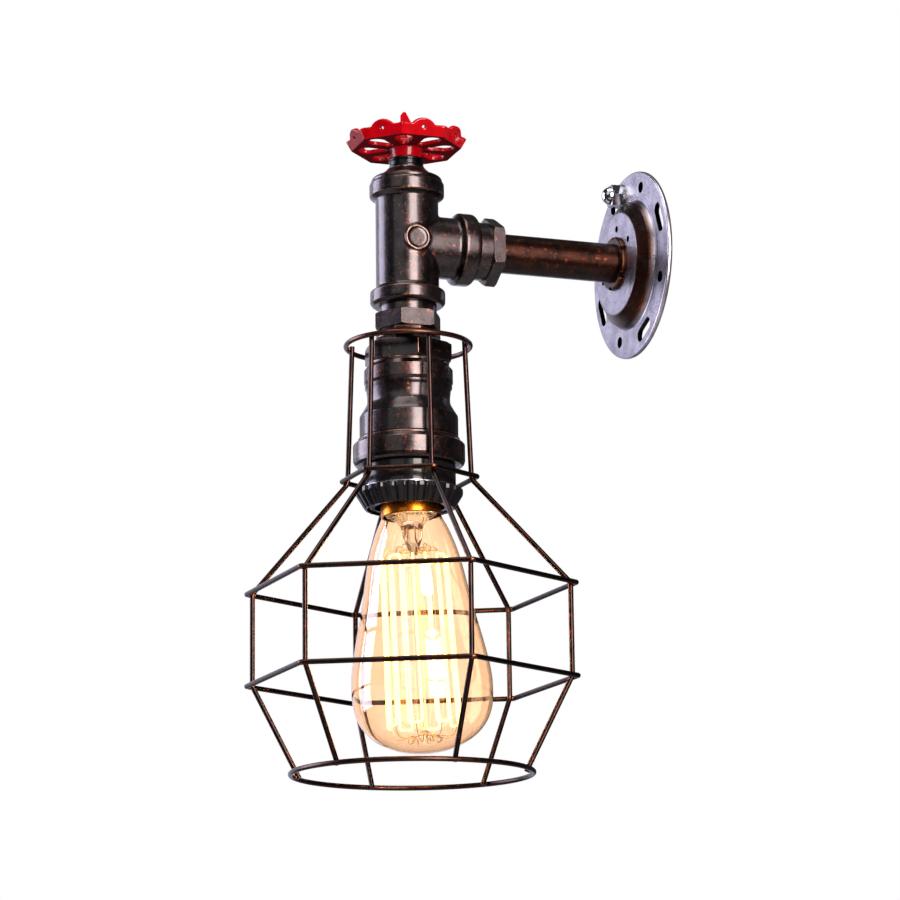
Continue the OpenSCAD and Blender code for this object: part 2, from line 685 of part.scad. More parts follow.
module bulb_tip() {
  color(steel_c) on_bulb() turned_part([[0, tip_z], [2, tip_z - 0.2], [3.4, ins_top + eps],
    [2.15, ins_top + eps], [2.15, ins_top - 1], [0, ins_top - 1]]);
}
// Outline of the glass as radius/height pairs. It was drawn for a 13.3 mm neck, 32 mm greatest radius
// and 108.6 mm height, and is stretched from those to the sizes asked for.
drawn = [[13.3, 0], [14.2, 1.2], [15.6, 4], [17.6, 9], [19.6, 15], [21.3, 21], [23.2, 30], [25.2, 41],
  [27.2, 50.5], [29.4, 60], [31, 69], [31.8, 76], [32, 81.5], [31.6, 87], [30.2, 92], [27.6, 96.8],
  [24, 100.8], [19.4, 104.2], [14, 106.8], [8, 108.2], [0, 108.6]];
drawn_neck = 13.3;
drawn_r = 32;
drawn_h = 108.6;
drawn_bend = 95;
function glass_r(p) = p[1] > 81 ? p[0] * bulb_r / drawn_r
  : neck_r + (p[0] - drawn_neck) * (bulb_r - neck_r) / (drawn_r - drawn_neck);
function glass_z(p, inset) = cap_foot + 2 - (p[1] + 2) * (glass_h + 2) / (drawn_h + 2)
  + max(0, inset * (p[1] - drawn_bend) / (drawn_h - drawn_bend));
function glass_outline(inset) = [for (p = drawn) [max(0, glass_r(p) - inset), glass_z(p, inset)]];
module bulb_glass() {
  outer = glass_outline(0);
  inner = glass_outline(glass_t);
  top = cap_foot + 4;
  color(amber_c) on_bulb() turned_part(concat([[neck_r - eps, top], [neck_r, outer[0][1]]],
    [for (i = [1:len(outer) - 1]) outer[i]], [for (i = [len(inner) - 1:-1:1]) inner[i]],
    [[neck_bore, inner[0][1]], [neck_bore, top]]));
}
module bulb_stem() {
  in_r = neck_bore - eps;
  color(amber_c) on_bulb() turned_part([[0, cap_foot + 2], [in_r, cap_foot + 2], [in_r, cap_foot + 1.2],
    [6, cap_foot - 3], [4, cap_foot - 10], [2.2, cap_foot - 15], [1.4, cap_foot - 18],
    [1.4, stem_foot - 1], [2.2, stem_foot - 2], [2.2, stem_foot - 3.4], [1.2, stem_foot - 4.4],
    [0, stem_foot - 4.4]]);
}
// two leads beside the stem, each bent out to its end of the filament
module bulb_leads() {
  d = 0.7;
  color(steel_c) on_bulb() for (s = [-1, 1]) {
    translate([7 * s, 0, loop_top]) cylinder(d = d, h = cap_foot - 3 - loop_top, $fn = 16);
    translate([s > 0 ? 7 : -loop_r_top + 0.4, 0, loop_top]) rotate([0, 90, 0])
      cylinder(d = d, h = loop_r_top - 7.4, $fn = 16);
  }
}
// upright strands leaning slightly out, joined in turn at the top and at the foot
module filament() {
  step = 360 / strands;
  color(glow_c) on_bulb() for (i = [0:strands - 1]) rotate(step * i) {
    strand([loop_r_top, 0, loop_top], [loop_r_foot, 0, loop_foot], strand_d);
    if (i != strands - 1) {
      r = i % 2 == 0 ? loop_r_foot : loop_r_top;
      z = i % 2 == 0 ? loop_foot : loop_top;
      strand([r, 0, z], [r * cos(step), r * sin(step), z], strand_d * 0.8);
      translate([r, 0, z]) sphere(d = strand_d * 1.3, $fn = 16);
      translate([r * cos(step), r * sin(step), z]) sphere(d = strand_d * 1.3, $fn = 16);
    }
  }
}
module strand(a, b, d) {
  v = b - a;
  l = norm(v);
  translate(a) rotate([0, acos(v[2] / l), atan2(v[1], v[0])]) cylinder(d = d, h = l, $fn = 16);
}
// thin hooks from the stem that carry the filament's turns
module hooks() {
  step = 360 / strands;
  d = 0.5;
  color(steel_c) on_bulb() for (i = [0:strands / 2 - 1]) {
    rotate(step * (2 * i + 0.5)) translate([0, 0, loop_foot + 1.2]) rotate([0, 90, 0]) translate([0, 0, 1.45])
      cylinder(d = d, h = loop_r_foot - 2.6, $fn = 16);
    if (i > 0) rotate(step * (2 * i - 0.5)) translate([0, 0, loop_top - 1.2]) rotate([0, 90, 0])
      translate([0, 0, 1.45]) cylinder(d = d, h = loop_r_top - 2.6, $fn = 16);
  }
}
// insulated wire from the lampholder up through the nipple and tee and along the arm
module lead(x) {
  d = 2.2;
  turn = 9;
  foot = shell_top + 14.2;
  color(x > 0 ? red_c : black_c) {
    translate([x, -reach, foot]) cylinder(d = d, h = -turn - foot, $fn = 32);
    translate([x > 0 ? 0 : -9.5, -reach, foot]) rotate([0, 90, 0]) cylinder(d = d * 0.9, h = 9.5, $fn = 32);
    translate([x, -reach + turn, -turn]) rotate([0, 90, 0]) rotate([0, 0, 180]) rotate_extrude(angle = 90)
      translate([turn, 0]) circle(d = d, $fn = 32);
    translate([x, -reach + turn, 0]) rotate([-90, 0, 0]) cylinder(d = d, h = reach - turn - 1, $fn = 32);
  }
}
module live_wire() { lead(1.6); }
module neutral_wire() { lead(-1.6); }

wall_plate();
face_nut();
rear_nut();
earth_bolt();
earth_washer();
cap_nut();
arm_pipe();
arm_bushing();
tee();
bonnet();
gland_nut();
spindle();
handwheel();
wheel_nut();
lower_bushing();
nipple();
clamp_disc();
cage_strap();
neck_ring();
collar_ring();
upper_ring();
lower_ring();
bottom_ring();
neck_wires();
shoulder_wires();
belly_wires();
leg_wires();
cover_nut();
cover_band();
cover_barrel();
cover_flange();
nipple_nut();
holder_body();
holder_block();
terminal_screws();
screw_shell();
centre_contact();
ring_washer();
shade_ring();
bulb_cap();
bulb_insulator();
bulb_tip();
bulb_glass();
bulb_stem();
bulb_leads();
filament();
hooks();
live_wire();
neutral_wire();
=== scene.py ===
import json
import math

import bmesh
import bpy
from mathutils import Matrix, Vector


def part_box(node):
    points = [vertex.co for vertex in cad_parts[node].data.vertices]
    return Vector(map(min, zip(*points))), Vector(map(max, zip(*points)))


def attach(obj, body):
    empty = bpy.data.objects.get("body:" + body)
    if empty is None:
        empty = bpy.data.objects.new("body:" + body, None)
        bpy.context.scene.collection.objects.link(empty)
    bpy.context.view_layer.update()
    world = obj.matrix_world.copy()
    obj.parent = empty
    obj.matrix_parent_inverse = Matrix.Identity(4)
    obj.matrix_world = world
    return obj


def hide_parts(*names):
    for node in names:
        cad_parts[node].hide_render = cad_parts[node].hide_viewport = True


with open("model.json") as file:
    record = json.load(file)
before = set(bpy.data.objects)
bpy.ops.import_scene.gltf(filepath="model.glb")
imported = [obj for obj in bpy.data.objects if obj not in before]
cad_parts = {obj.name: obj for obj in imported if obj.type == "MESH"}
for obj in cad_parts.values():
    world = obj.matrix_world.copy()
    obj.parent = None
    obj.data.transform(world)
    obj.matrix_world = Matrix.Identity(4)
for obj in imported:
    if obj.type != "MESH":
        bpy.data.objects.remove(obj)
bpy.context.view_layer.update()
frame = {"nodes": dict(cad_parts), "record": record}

# Shapes are worked out in millimetres, in the frame of the CAD model, and scaled to metres at the end.
MM = 0.001
SMOOTH_ANGLE = math.radians(38)


# ---------------------------------------------------------------- places taken from the frame

def box_mm(node):
    """Lowest and highest corner of a CAD node in millimetres."""
    low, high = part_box(node)
    return Vector(low) / MM, Vector(high) / MM


def foot(node):
    """Lowest height of a node."""
    return box_mm(node)[0].z


def top(node):
    """Greatest height of a node."""
    return box_mm(node)[1].z


def height(node):
    """Distance between a node's foot and its top."""
    return top(node) - foot(node)


def girth(node):
    """Half the width of a node that is centred on the lamp axis."""
    low, high = box_mm(node)
    return (high.x - low.x) / 2


def joint(name):
    """The recorded joint of this name."""
    return next(j for j in frame["record"]["behaviour"]["joints"] if j["name"] == name)


lamp_y = (box_mm("shade_ring")[0].y + box_mm("shade_ring")[1].y) / 2
LAMP = Matrix.Translation((0, lamp_y, 0))
WALL = Matrix.Rotation(math.radians(90), 4, "X")
wire_d = height("bottom_ring")
cage_turn = math.radians(1.4)
cage_fit = 0.05
bulb_pivot = Vector(joint("bulb_turn")["pos_m"]) / MM
bulb_axis = Vector(joint("bulb_turn")["axis"])
BULB = Matrix.Translation(bulb_pivot) @ Vector((0, 0, -1)).rotation_difference(bulb_axis).to_matrix().to_4x4()


# ---------------------------------------------------------------- node helper and colours

def srgb(code):
    """Linear colour of an sRGB hex code."""
    channels = [int(code[i:i + 2], 16) / 255 for i in (0, 2, 4)]
    linear = [c / 12.92 if c <= 0.04045 else ((c + 0.055) / 1.055) ** 2.4 for c in channels]
    return (*linear, 1.0)


def per_mm(size):
    """Texture scale at which one feature is about this many millimetres wide."""
    return 1 / (size * MM)


def add(tree, kind, sockets=None, out=0, **settings):
    """Adds one node with its settings and links, and gives the output that is asked for."""
    node = tree.nodes.new("ShaderNode" + kind)
    for key, value in settings.items():
        setattr(node, key, value)
    for key, value in (sockets or {}).items():
        if isinstance(value, bpy.types.NodeSocket):
            tree.links.new(value, node.inputs[key])
        else:
            node.inputs[key].default_value = value
    return node.outputs[out] if len(node.outputs) else None


# ---------------------------------------------------------------- materials

MIXED = 2                          # output of a Mix node that blends colours
FACTOR, FIRST, SECOND = 0, 6, 7    # and its inputs


def pattern(size, detail=4.0, roughness=0.55, distortion=0.0):
    """Sockets of a noise whose patches are about this many millimetres wide."""
    return {"Scale": per_mm(size), "Detail": detail, "Roughness": roughness, "Distortion": distortion}


def stretched(value, low, high, to_low=0.0, to_high=1.0):
    """Sockets that stretch a value from low..high to to_low..to_high and hold it inside."""
    return {"Value": value, "From Min": low, "From Max": high, "To Min": to_low, "To Max": to_high}


def new_material(name):
    """Empty node material with its tree and object coordinates."""
    material = bpy.data.materials.new(name)
    material.use_nodes = True
    tree = material.node_tree
    tree.nodes.clear()
    return material, tree, add(tree, "TexCoord", out="Object")


def surface(tree, sockets, relief=None, strength=0.0, depth=0.0, volume=None):
    """Principled surface on the material's output, bumped by a relief of this depth in millimetres."""
    if relief:
        bump = {"Height": relief, "Strength": strength, "Distance": depth * MM}
        sockets["Normal"] = add(tree, "Bump", bump)
    ends = {"Surface": add(tree, "BsdfPrincipled", sockets)}
    if volume:
        ends["Volume"] = volume
    add(tree, "OutputMaterial", ends)


def mottled(name, colours, cloud, spread=(0.0, 1.0), grain=None, rough=None, rough_by_grain=False,
            edge=None, bump=(0.2, 0.04), sockets=None, absorption=None):
    """Finish that goes between two colours in soft patches, with a finer grain for its relief.

    spread narrows the patches, rough is the roughness at both ends of the pattern, edge is the wear at
    which the edges start and end to turn to a third colour, and bump is the relief's strength and depth.
    """
    material, tree, coords = new_material(name)
    patches = add(tree, "TexNoise", {"Vector": coords, **cloud}, "Fac")
    fine = add(tree, "TexNoise", {"Vector": coords, **grain}, "Fac") if grain else patches
    share = add(tree, "MapRange", stretched(patches, *spread))
    colour = add(tree, "Mix", {FACTOR: share, FIRST: srgb(colours[0]), SECOND: srgb(colours[1])}, MIXED,
                 data_type="RGBA")
    if edge:
        wear_start, wear_end, bare = edge
        wear = add(tree, "Attribute", out="Fac", attribute_name="wear")
        worn = add(tree, "MapRange", stretched(wear, wear_start, wear_end))
        colour = add(tree, "Mix", {FACTOR: worn, FIRST: colour, SECOND: srgb(bare)}, MIXED, data_type="RGBA")
    looks = {"Base Color": colour, **(sockets or {})}
    if rough:
        sheen = fine if rough_by_grain else patches
        looks["Roughness"] = add(tree, "MapRange", stretched(sheen, 0.3, 0.7, *rough))
    volume = None
    if absorption:
        volume = add(tree, "VolumeAbsorption", {"Color": srgb(absorption[0]), "Density": absorption[1]})
    surface(tree, looks, fine if bump else None, *(bump or ()), volume=volume)
    return material


def rubbed_bronze(name, tones, fleck_mm, copper_share, rough, relief, lacquer):
    """Dark lacquer rubbed back to copper: fine copper flecks all over and bare bright metal on the edges.

    tones are the deep ground, the brown ground, the copper of the flecks and the bare edges.
    """
    deep, brown, copper, bare = (srgb(code) for code in tones)
    material, tree, coords = new_material(name)
    cloud = add(tree, "TexNoise", {"Vector": coords, **pattern(7.0)}, "Fac")
    fleck = add(tree, "TexNoise", {"Vector": coords, **pattern(fleck_mm, 6.0, 0.65, 0.6)}, "Fac")
    pits = add(tree, "TexNoise", {"Vector": coords, **pattern(fleck_mm * 0.45, 5.0, 0.7)}, "Fac")
    brownness = add(tree, "MapRange", stretched(cloud, 0.35, 0.65))
    ground = add(tree, "Mix", {FACTOR: brownness, FIRST: deep, SECOND: brown}, MIXED, data_type="RGBA")
    flecks = add(tree, "MapRange", stretched(fleck, 0.66 - copper_share, 0.74 - copper_share * 0.6))
    flecked = add(tree, "Mix", {FACTOR: flecks, FIRST: ground, SECOND: copper}, MIXED, data_type="RGBA")
    wear = add(tree, "Attribute", out="Fac", attribute_name="wear")
    edges = add(tree, "MapRange", stretched(wear, 0.12, 0.7))
    ragged = add(tree, "MapRange", stretched(fleck, 0.3, 0.52))
    rubbed = add(tree, "Math", {0: edges, 1: ragged}, operation="MULTIPLY")
    colour = add(tree, "Mix", {FACTOR: rubbed, FIRST: flecked, SECOND: bare}, MIXED, data_type="RGBA")
    surface(tree, {
        "Base Color": colour, "Roughness": add(tree, "MapRange", stretched(fleck, 0.3, 0.7, *rough)),
        "Metallic": 1.0, "Coat Weight": lacquer, "Coat Roughness": 0.2,
    }, pits, 0.5, relief)
    return material


def pressed_plate():
    """Zinc-plated pressed steel, with a painted reflection of dark brown surroundings on the boss's wall and
    painted shade on the walls of its holes.
    """
    face_edge, base_edge, hole_reach = 24.4 * MM, 30.2 * MM, 42.0 * MM
    material, tree, coords = new_material("pressed_steel_zinc_plate")
    cloud = add(tree, "TexNoise", {"Vector": coords, **pattern(9.0)}, "Fac")
    grain = add(tree, "TexNoise", {"Vector": coords, **pattern(0.9, 5.0, 0.6)}, "Fac")
    level_reach = add(tree, "VectorMath", {0: coords, 1: (1.0, 0.0, 1.0)}, operation="MULTIPLY")
    radius = add(tree, "VectorMath", {0: level_reach}, "Value", operation="LENGTH")
    patches = add(tree, "MapRange", stretched(cloud, 0.35, 0.65))
    zinc = add(tree, "Mix", {FACTOR: patches, FIRST: srgb("7d7a84"), SECOND: srgb("a19ea7")}, MIXED,
               data_type="RGBA")
    wear = add(tree, "Attribute", out="Fac", attribute_name="wear")
    worn = add(tree, "MapRange", stretched(wear, 0.15, 0.8))
    edged = add(tree, "Mix", {FACTOR: worn, FIRST: zinc, SECOND: srgb("d8d5da")}, MIXED, data_type="RGBA")
    # painted reflection: dark brown between the boss's face and its foot, standing for dark surroundings seen
    # in the wall, made uneven by the cloud
    inner = add(tree, "MapRange", stretched(radius, face_edge - 0.6 * MM, face_edge + 0.4 * MM))
    outer = add(tree, "MapRange", stretched(radius, base_edge - 0.4 * MM, base_edge + 0.8 * MM, 1.0, 0.0))
    band = add(tree, "Math", {0: inner, 1: outer}, operation="MULTIPLY")
    uneven = add(tree, "MapRange", stretched(cloud, 0.2, 0.5, 0.75, 1.0))
    painted_boss_reflection = add(tree, "Math", {0: band, 1: uneven}, operation="MULTIPLY")
    bronze = add(tree, "Mix", {FACTOR: cloud, FIRST: srgb("1c1110"), SECOND: srgb("4a2a1c")}, MIXED,
                 data_type="RGBA")
    boss_reflected = add(tree, "Mix", {FACTOR: painted_boss_reflection, FIRST: edged, SECOND: bronze}, MIXED, data_type="RGBA")
    # painted shade in the holes: near-black on faces that stand across the plate, inside its rim
    facing = add(tree, "SeparateXYZ", {"Vector": add(tree, "NewGeometry", out="True Normal")}, "Y")
    flatness = add(tree, "Math", {0: facing}, operation="ABSOLUTE")
    across = add(tree, "MapRange", stretched(flatness, 0.12, 0.4, 1.0, 0.0))
    within = add(tree, "MapRange", stretched(radius, hole_reach, hole_reach + 0.6 * MM, 1.0, 0.0))
    hole_wall_shade = add(tree, "Math", {0: across, 1: within}, operation="MULTIPLY")
    colour = add(tree, "Mix", {FACTOR: hole_wall_shade, FIRST: boss_reflected, SECOND: srgb("060505")}, MIXED,
                 data_type="RGBA")
    surface(tree, {
        "Base Color": colour, "Roughness": add(tree, "MapRange", stretched(grain, 0.3, 0.7, 0.24, 0.4)),
        "Metallic": 1.0,
    }, grain, 0.25, 0.05)
    return material


def red_enamel():
    """Thick red enamel on a cast wheel, thinner on its edges and matt underneath, with painted shade on its
    underside.
    """
    material, tree, coords = new_material("cast_iron_red_enamel")
    cloud = add(tree, "TexNoise", {"Vector": coords, **pattern(5.0)}, "Fac")
    peel = add(tree, "TexNoise", {"Vector": coords, **pattern(1.5, 2.0)}, "Fac")
    patches = add(tree, "MapRange", stretched(cloud, 0.3, 0.7))
    coat = add(tree, "Mix", {FACTOR: patches, FIRST: srgb("780007"), SECOND: srgb("93000b")}, MIXED,
               data_type="RGBA")
    wear = add(tree, "Attribute", out="Fac", attribute_name="wear")
    worn = add(tree, "MapRange", stretched(wear, 0.3, 1.0))
    edged = add(tree, "Mix", {FACTOR: worn, FIRST: coat, SECOND: srgb("a80c12")}, MIXED, data_type="RGBA")
    # painted shade: faces that look down get dark maroon in place of the red coat
    facing = add(tree, "SeparateXYZ", {"Vector": add(tree, "NewGeometry", out="Normal")}, "Z")
    top_side_unshaded = add(tree, "MapRange", stretched(facing, -0.95, -0.5))
    gloss = add(tree, "MapRange", stretched(cloud, 0.3, 0.7, 0.26, 0.36))
    colour = add(tree, "Mix", {FACTOR: top_side_unshaded, FIRST: srgb("55030b"), SECOND: edged}, MIXED, data_type="RGBA")
    surface(tree, {
        "Base Color": colour,
        "Roughness": add(tree, "MapRange", stretched(top_side_unshaded, 0.0, 1.0, 0.9, gloss)),
        "Coat Weight": add(tree, "MapRange", stretched(top_side_unshaded, 0.0, 1.0, 0.0, 0.35)),
        "IOR": 1.3, "Specular IOR Level": 0.1, "Coat Roughness": 0.05,
    }, peel, 0.22, 0.12)
    return material


def insulation(name, dark, light):
    """Woven and varnished wire insulation with a fine thread every 0.6 mm."""
    material, tree, coords = new_material(name)
    thread = add(tree, "TexWave", {"Vector": coords, "Scale": per_mm(0.6) / 3, "Distortion": 1.5}, "Fac",
                 bands_direction="DIAGONAL")
    colour = add(tree, "Mix", {FACTOR: thread, FIRST: srgb(dark), SECOND: srgb(light)}, MIXED,
                 data_type="RGBA")
    surface(tree, {
        "Base Color": colour, "Roughness": add(tree, "MapRange", stretched(thread, 0.0, 1.0, 0.4, 0.6)),
        "IOR": 1.5,
    }, thread, 0.3, 0.08)
    return material


# cast iron sprayed near-black and rubbed with copper: coarse pitted grain, silvery where it is handled
FITTING = rubbed_bronze("cast_iron_bronze_lacquer", ("110d0e", "2d2527", "7a4029", "b37d61"), fleck_mm=1.7,
                        copper_share=0.07, rough=(0.24, 0.44), relief=0.16, lacquer=0.6)
# machined bands of the socket cover: the same lacquer, rubbed further back to pinkish copper
BAND = rubbed_bronze("turned_steel_copper_rubbed", ("181213", "3a2a28", "86482e", "c0886c"), fleck_mm=1.5,
                     copper_share=0.08, rough=(0.22, 0.40), relief=0.10, lacquer=0.6)
# steel pipe brushed with copper lacquer: warm brown streaks with dark ends
PIPE = rubbed_bronze("steel_pipe_brushed_copper", ("140b09", "2f170f", "6b351d", "7c4528"), fleck_mm=2.2,
                     copper_share=0.07, rough=(0.26, 0.40), relief=0.06, lacquer=0.2)
# drawn wire with a thin bronze coat: smooth and reddish, darker where the coat is thick
WIRE = rubbed_bronze("drawn_wire_bronze_coat", ("130a08", "2c1610", "5c2e1c", "6a3e2a"), fleck_mm=1.8,
                     copper_share=0.06, rough=(0.26, 0.42), relief=0.03, lacquer=0.2)
# oil-blackened iron: blue-black with a soft sheen and grey rubbed edges
IRON = rubbed_bronze("iron_oil_blackened", ("08080a", "131317", "2a2930", "5a5862"), fleck_mm=1.4,
                     copper_share=0.04, rough=(0.26, 0.44), relief=0.05, lacquer=0.3)
# pressed steel with zinc plate: pale lilac grey with fine drawing marks
PLATE = pressed_plate()
# turned steel with bright zinc: pale, slightly blue, with faint tool marks
ZINC = mottled("turned_steel_bright_zinc", ("7f7f84", "a9a8ae"), pattern(5.0), grain=pattern(0.7),
               rough=(0.2, 0.36), rough_by_grain=True, sockets={"Metallic": 1.0})
# polished chromium plate: nearly a mirror, with a few fine hazy patches
CHROME = mottled("steel_chromium_plate", ("9fa8b0", "c2c8ce"), pattern(3.0), rough=(0.06, 0.16),
                 bump=(0.1, 0.02), sockets={"Metallic": 1.0})
# cast wheel dipped in red enamel: thick gloss with a little orange peel
RED = red_enamel()
# moulded black phenolic: deep black, slightly lilac in its gloss, with faint flow marks
PHENOLIC = mottled("phenolic_moulded_black", ("060506", "0f0d10"), pattern(4.0, 3.0, 0.5, 1.2),
                   grain=pattern(0.8), rough=(0.2, 0.36), edge=(0.3, 1.0, "1a181c"), bump=(0.15, 0.04),
                   sockets={"IOR": 1.5, "Specular IOR Level": 0.14, "Coat Weight": 0.25,
                            "Coat Roughness": 0.04})
# glazed porcelain: warm white under a clear glaze, with tiny grey specks
PORCELAIN = mottled("porcelain_glazed", ("e6e2d8", "b9b2a4"), pattern(0.6, 5.0), spread=(0.62, 0.72),
                    grain=pattern(2.5), rough=(0.12, 0.24), bump=(0.1, 0.05),
                    sockets={"IOR": 1.5, "Coat Weight": 0.5})
# rolled brass: yellow gold that goes browner with handling, with fine rolling marks
BRASS = mottled("brass_rolled", ("bc6016", "e08628"), pattern(4.0), spread=(0.3, 0.7),
                grain=pattern(0.5, 5.0), rough=(0.2, 0.34), rough_by_grain=True, edge=(0.2, 0.9, "e8b25e"),
                bump=(0.2, 0.03),
                sockets={"Metallic": 1.0})
# solder wiped on the cap's tip: dull grey with a soft skin
SOLDER = mottled("solder_wiped", ("8d8c8a", "b4b3b0"), pattern(1.2), rough=(0.34, 0.5), bump=(0.4, 0.08),
                 sockets={"Metallic": 1.0})
# the cap's pressed black glass insulator: very dark, glossy, a little wavy
BLACK_GLASS = mottled("glass_pressed_black", ("08080c", "15141c"), pattern(2.0), rough=(0.05, 0.14),
                      bump=(0.2, 0.06), sockets={"IOR": 1.52})
# blown soda glass tinted amber: clear in the middle, brown where the wall is seen on edge
AMBER = mottled("soda_glass_amber_tint", ("fff0dd", "fff7ea"), pattern(14.0, 2.0), spread=(0.3, 0.7),
                bump=(0.06, 0.3), sockets={"IOR": 1.5, "Roughness": 0.0, "Transmission Weight": 1.0},
                absorption=("dcab4a", 520.0))
# drawn lead glass of the stem: clear, with long soft waves
STEM_GLASS = mottled("lead_glass_drawn", ("f4f0ea", "fffdf8"), pattern(3.0, 2.0), bump=(0.15, 0.2),
                     sockets={"IOR": 1.52, "Roughness": 0.02, "Transmission Weight": 1.0})
# drawn nickel: soft grey with faint draw lines
NICKEL = mottled("nickel_wire_drawn", ("8d8278", "c0b4a6"), pattern(0.5), rough=(0.24, 0.4),
                 bump=(0.2, 0.02), sockets={"Metallic": 1.0})
# carbonised filament at low heat: yellow-white with slightly duller patches
FILAMENT = mottled("carbon_filament_lit", ("7a3a10", "a85a1c"), pattern(5.0, 3.0), bump=(0.2, 0.02),
                   sockets={"Roughness": 0.5, "Emission Color": srgb("ffcf7d"), "Emission Strength": 45.0})
# cotton wound and varnished, one wire red and one black
RED_WIRE = insulation("cotton_varnished_red", "6e0f0f", "a51f1a")
BLACK_WIRE = insulation("cotton_varnished_black", "0b0b0b", "25232a")
# matt painted boards: pale and even, with a very faint mottling
FLOOR_PAINT = mottled("floor_matt_pale_paint", ("b9b8b6", "c6c5c3"), pattern(180.0), bump=None,
                      sockets={"Roughness": 0.8})


# ---------------------------------------------------------------- shape helpers

def rounded(points, radius, closed=False, steps=4):
    """Path through the points with each bend rounded."""
    points = [Vector(p) for p in points]
    result = []
    count = len(points)
    for i, corner in enumerate(points):
        if not closed and i in (0, count - 1):
            result.append(corner)
            continue
        before, after = points[i - 1], points[(i + 1) % count]
        back, ahead = before - corner, after - corner
        if back.length < 1e-6 or ahead.length < 1e-6:
            continue
        half = back.angle(ahead) / 2
        reach = min(radius / math.tan(half), back.length * 0.48, ahead.length * 0.48)
        if half > math.radians(86):
            result.append(corner)
            continue
        start, end = corner + back.normalized() * reach, corner + ahead.normalized() * reach
        for k in range(steps + 1):
            t = k / steps
            result.append(start * (1 - t) ** 2 + corner * 2 * t * (1 - t) + end * t ** 2)
    return result


def flowing(points, steps=6):
    """Smooth curve through the points."""
    points = [Vector(p) for p in points]
    result = [points[0]]
    for i in range(len(points) - 1):
        a = points[max(i - 1, 0)]
        b, c = points[i], points[i + 1]
        d = points[min(i + 2, len(points) - 1)]
        for k in range(1, steps + 1):
            t = k / steps
            result.append(0.5 * (2 * b + (c - a) * t + (2 * a - 5 * b + 4 * c - d) * t ** 2
                                 + (3 * b - a - 3 * c + d) * t ** 3))
    return result


def turned(outline, steps=96, closed=True, rise=0.0):
    """Shape of revolution from radius and height pairs; rise lifts it over one turn, for a thread."""
    bm = bmesh.new()
    verts = [bm.verts.new((max(r, 0.0), 0.0, z)) for r, z in outline]
    pairs = list(zip(verts, verts[1:]))
    if closed and outline[0][0] > 0.01 and outline[-1][0] > 0.01:
        pairs.append((verts[-1], verts[0]))
    edges = [bm.edges.new(pair) for pair in pairs]
    bmesh.ops.spin(bm, geom=verts + edges, cent=(0, 0, 0), axis=(0, 0, 1), dvec=(0, 0, rise / steps),
                   angle=2 * math.pi, steps=steps, use_merge=rise == 0.0, use_duplicate=False)
    bmesh.ops.remove_doubles(bm, verts=bm.verts[:], dist=0.002)
    bmesh.ops.recalc_face_normals(bm, faces=bm.faces[:])
    return bm


def turned_with_radius(points, radius, steps=96):
    """Turned part whose corners are all rounded."""
    flat = [(r, 0.0, z) for r, z in points]
    on_axis = points[0][0] < 0.01 or points[-1][0] < 0.01
    path = rounded(flat, radius, closed=not on_axis)
    return turned([(p.x, p.z) for p in path], steps)


def bent_wire(path, diameter, closed=False, fineness=3):
    """Round wire along a path."""
    curve = bpy.data.curves.new("wire_path", "CURVE")
    curve.dimensions = "3D"
    curve.bevel_depth = diameter / 2
    curve.bevel_resolution = fineness
    curve.use_fill_caps = not closed
    spline = curve.splines.new("POLY")
    spline.points.add(len(path) - 1)
    for point, place in zip(spline.points, path):
        point.co = (*place, 1.0)
    spline.use_cyclic_u = closed
    holder = bpy.data.objects.new("wire_path", curve)
    mesh = holder.to_mesh()
    bm = bmesh.new()
    bm.from_mesh(mesh)
    holder.to_mesh_clear()
    bpy.data.objects.remove(holder)
    bpy.data.curves.remove(curve)
    bmesh.ops.remove_doubles(bm, verts=bm.verts[:], dist=0.001)
    bmesh.ops.recalc_face_normals(bm, faces=bm.faces[:])
    return bm


def joined(parts):
    """One bmesh from several."""
    whole = bmesh.new()
    for part in parts:
        mesh = bpy.data.meshes.new("part")
        part.to_mesh(mesh)
        part.free()
        whole.from_mesh(mesh)
        bpy.data.meshes.remove(mesh)
    return whole


def copy_of(node):
    """Merged copy of a CAD node's mesh in millimetres."""
    bm = bmesh.new()
    bm.from_mesh(frame["nodes"][node].data)
    bmesh.ops.transform(bm, matrix=Matrix.Diagonal((1 / MM, 1 / MM, 1 / MM, 1.0)), verts=bm.verts[:])
    bmesh.ops.remove_doubles(bm, verts=bm.verts[:], dist=0.004)
    return bm


def edge_softened(bm, width, angle=30.0, segments=2):
    """Sharp edges rounded to a small radius."""
    bmesh.ops.dissolve_limit(bm, angle_limit=math.radians(1.0), use_dissolve_boundaries=False,
                             verts=bm.verts[:], edges=bm.edges[:])
    sharp = [e for e in bm.edges if e.is_manifold and e.calc_face_angle(0.0) > math.radians(angle)]
    bmesh.ops.bevel(bm, geom=sharp, offset=width, offset_type="OFFSET", affect="EDGES", segments=segments,
                    profile=0.5, material=-1, clamp_overlap=True)
    return bm


def cast(node, voxel, passes):
    """Copy of a CAD node with the soft edges and fillets of a casting."""
    bm = copy_of(node)
    mesh = bpy.data.meshes.new("casting")
    bm.to_mesh(mesh)
    bm.free()
    holder = bpy.data.objects.new("casting", mesh)
    bpy.context.scene.collection.objects.link(holder)
    remesh = holder.modifiers.new("grid", "REMESH")
    remesh.mode = "VOXEL"
    remesh.voxel_size = voxel
    evaluated = holder.evaluated_get(bpy.context.evaluated_depsgraph_get())
    result = bmesh.new()
    result.from_mesh(evaluated.to_mesh())
    evaluated.to_mesh_clear()
    bpy.data.objects.remove(holder)
    bpy.data.meshes.remove(mesh)
    for _ in range(passes):
        bmesh.ops.smooth_vert(result, verts=result.verts[:], factor=0.5, use_axis_x=True, use_axis_y=True,
                              use_axis_z=True)
    return result


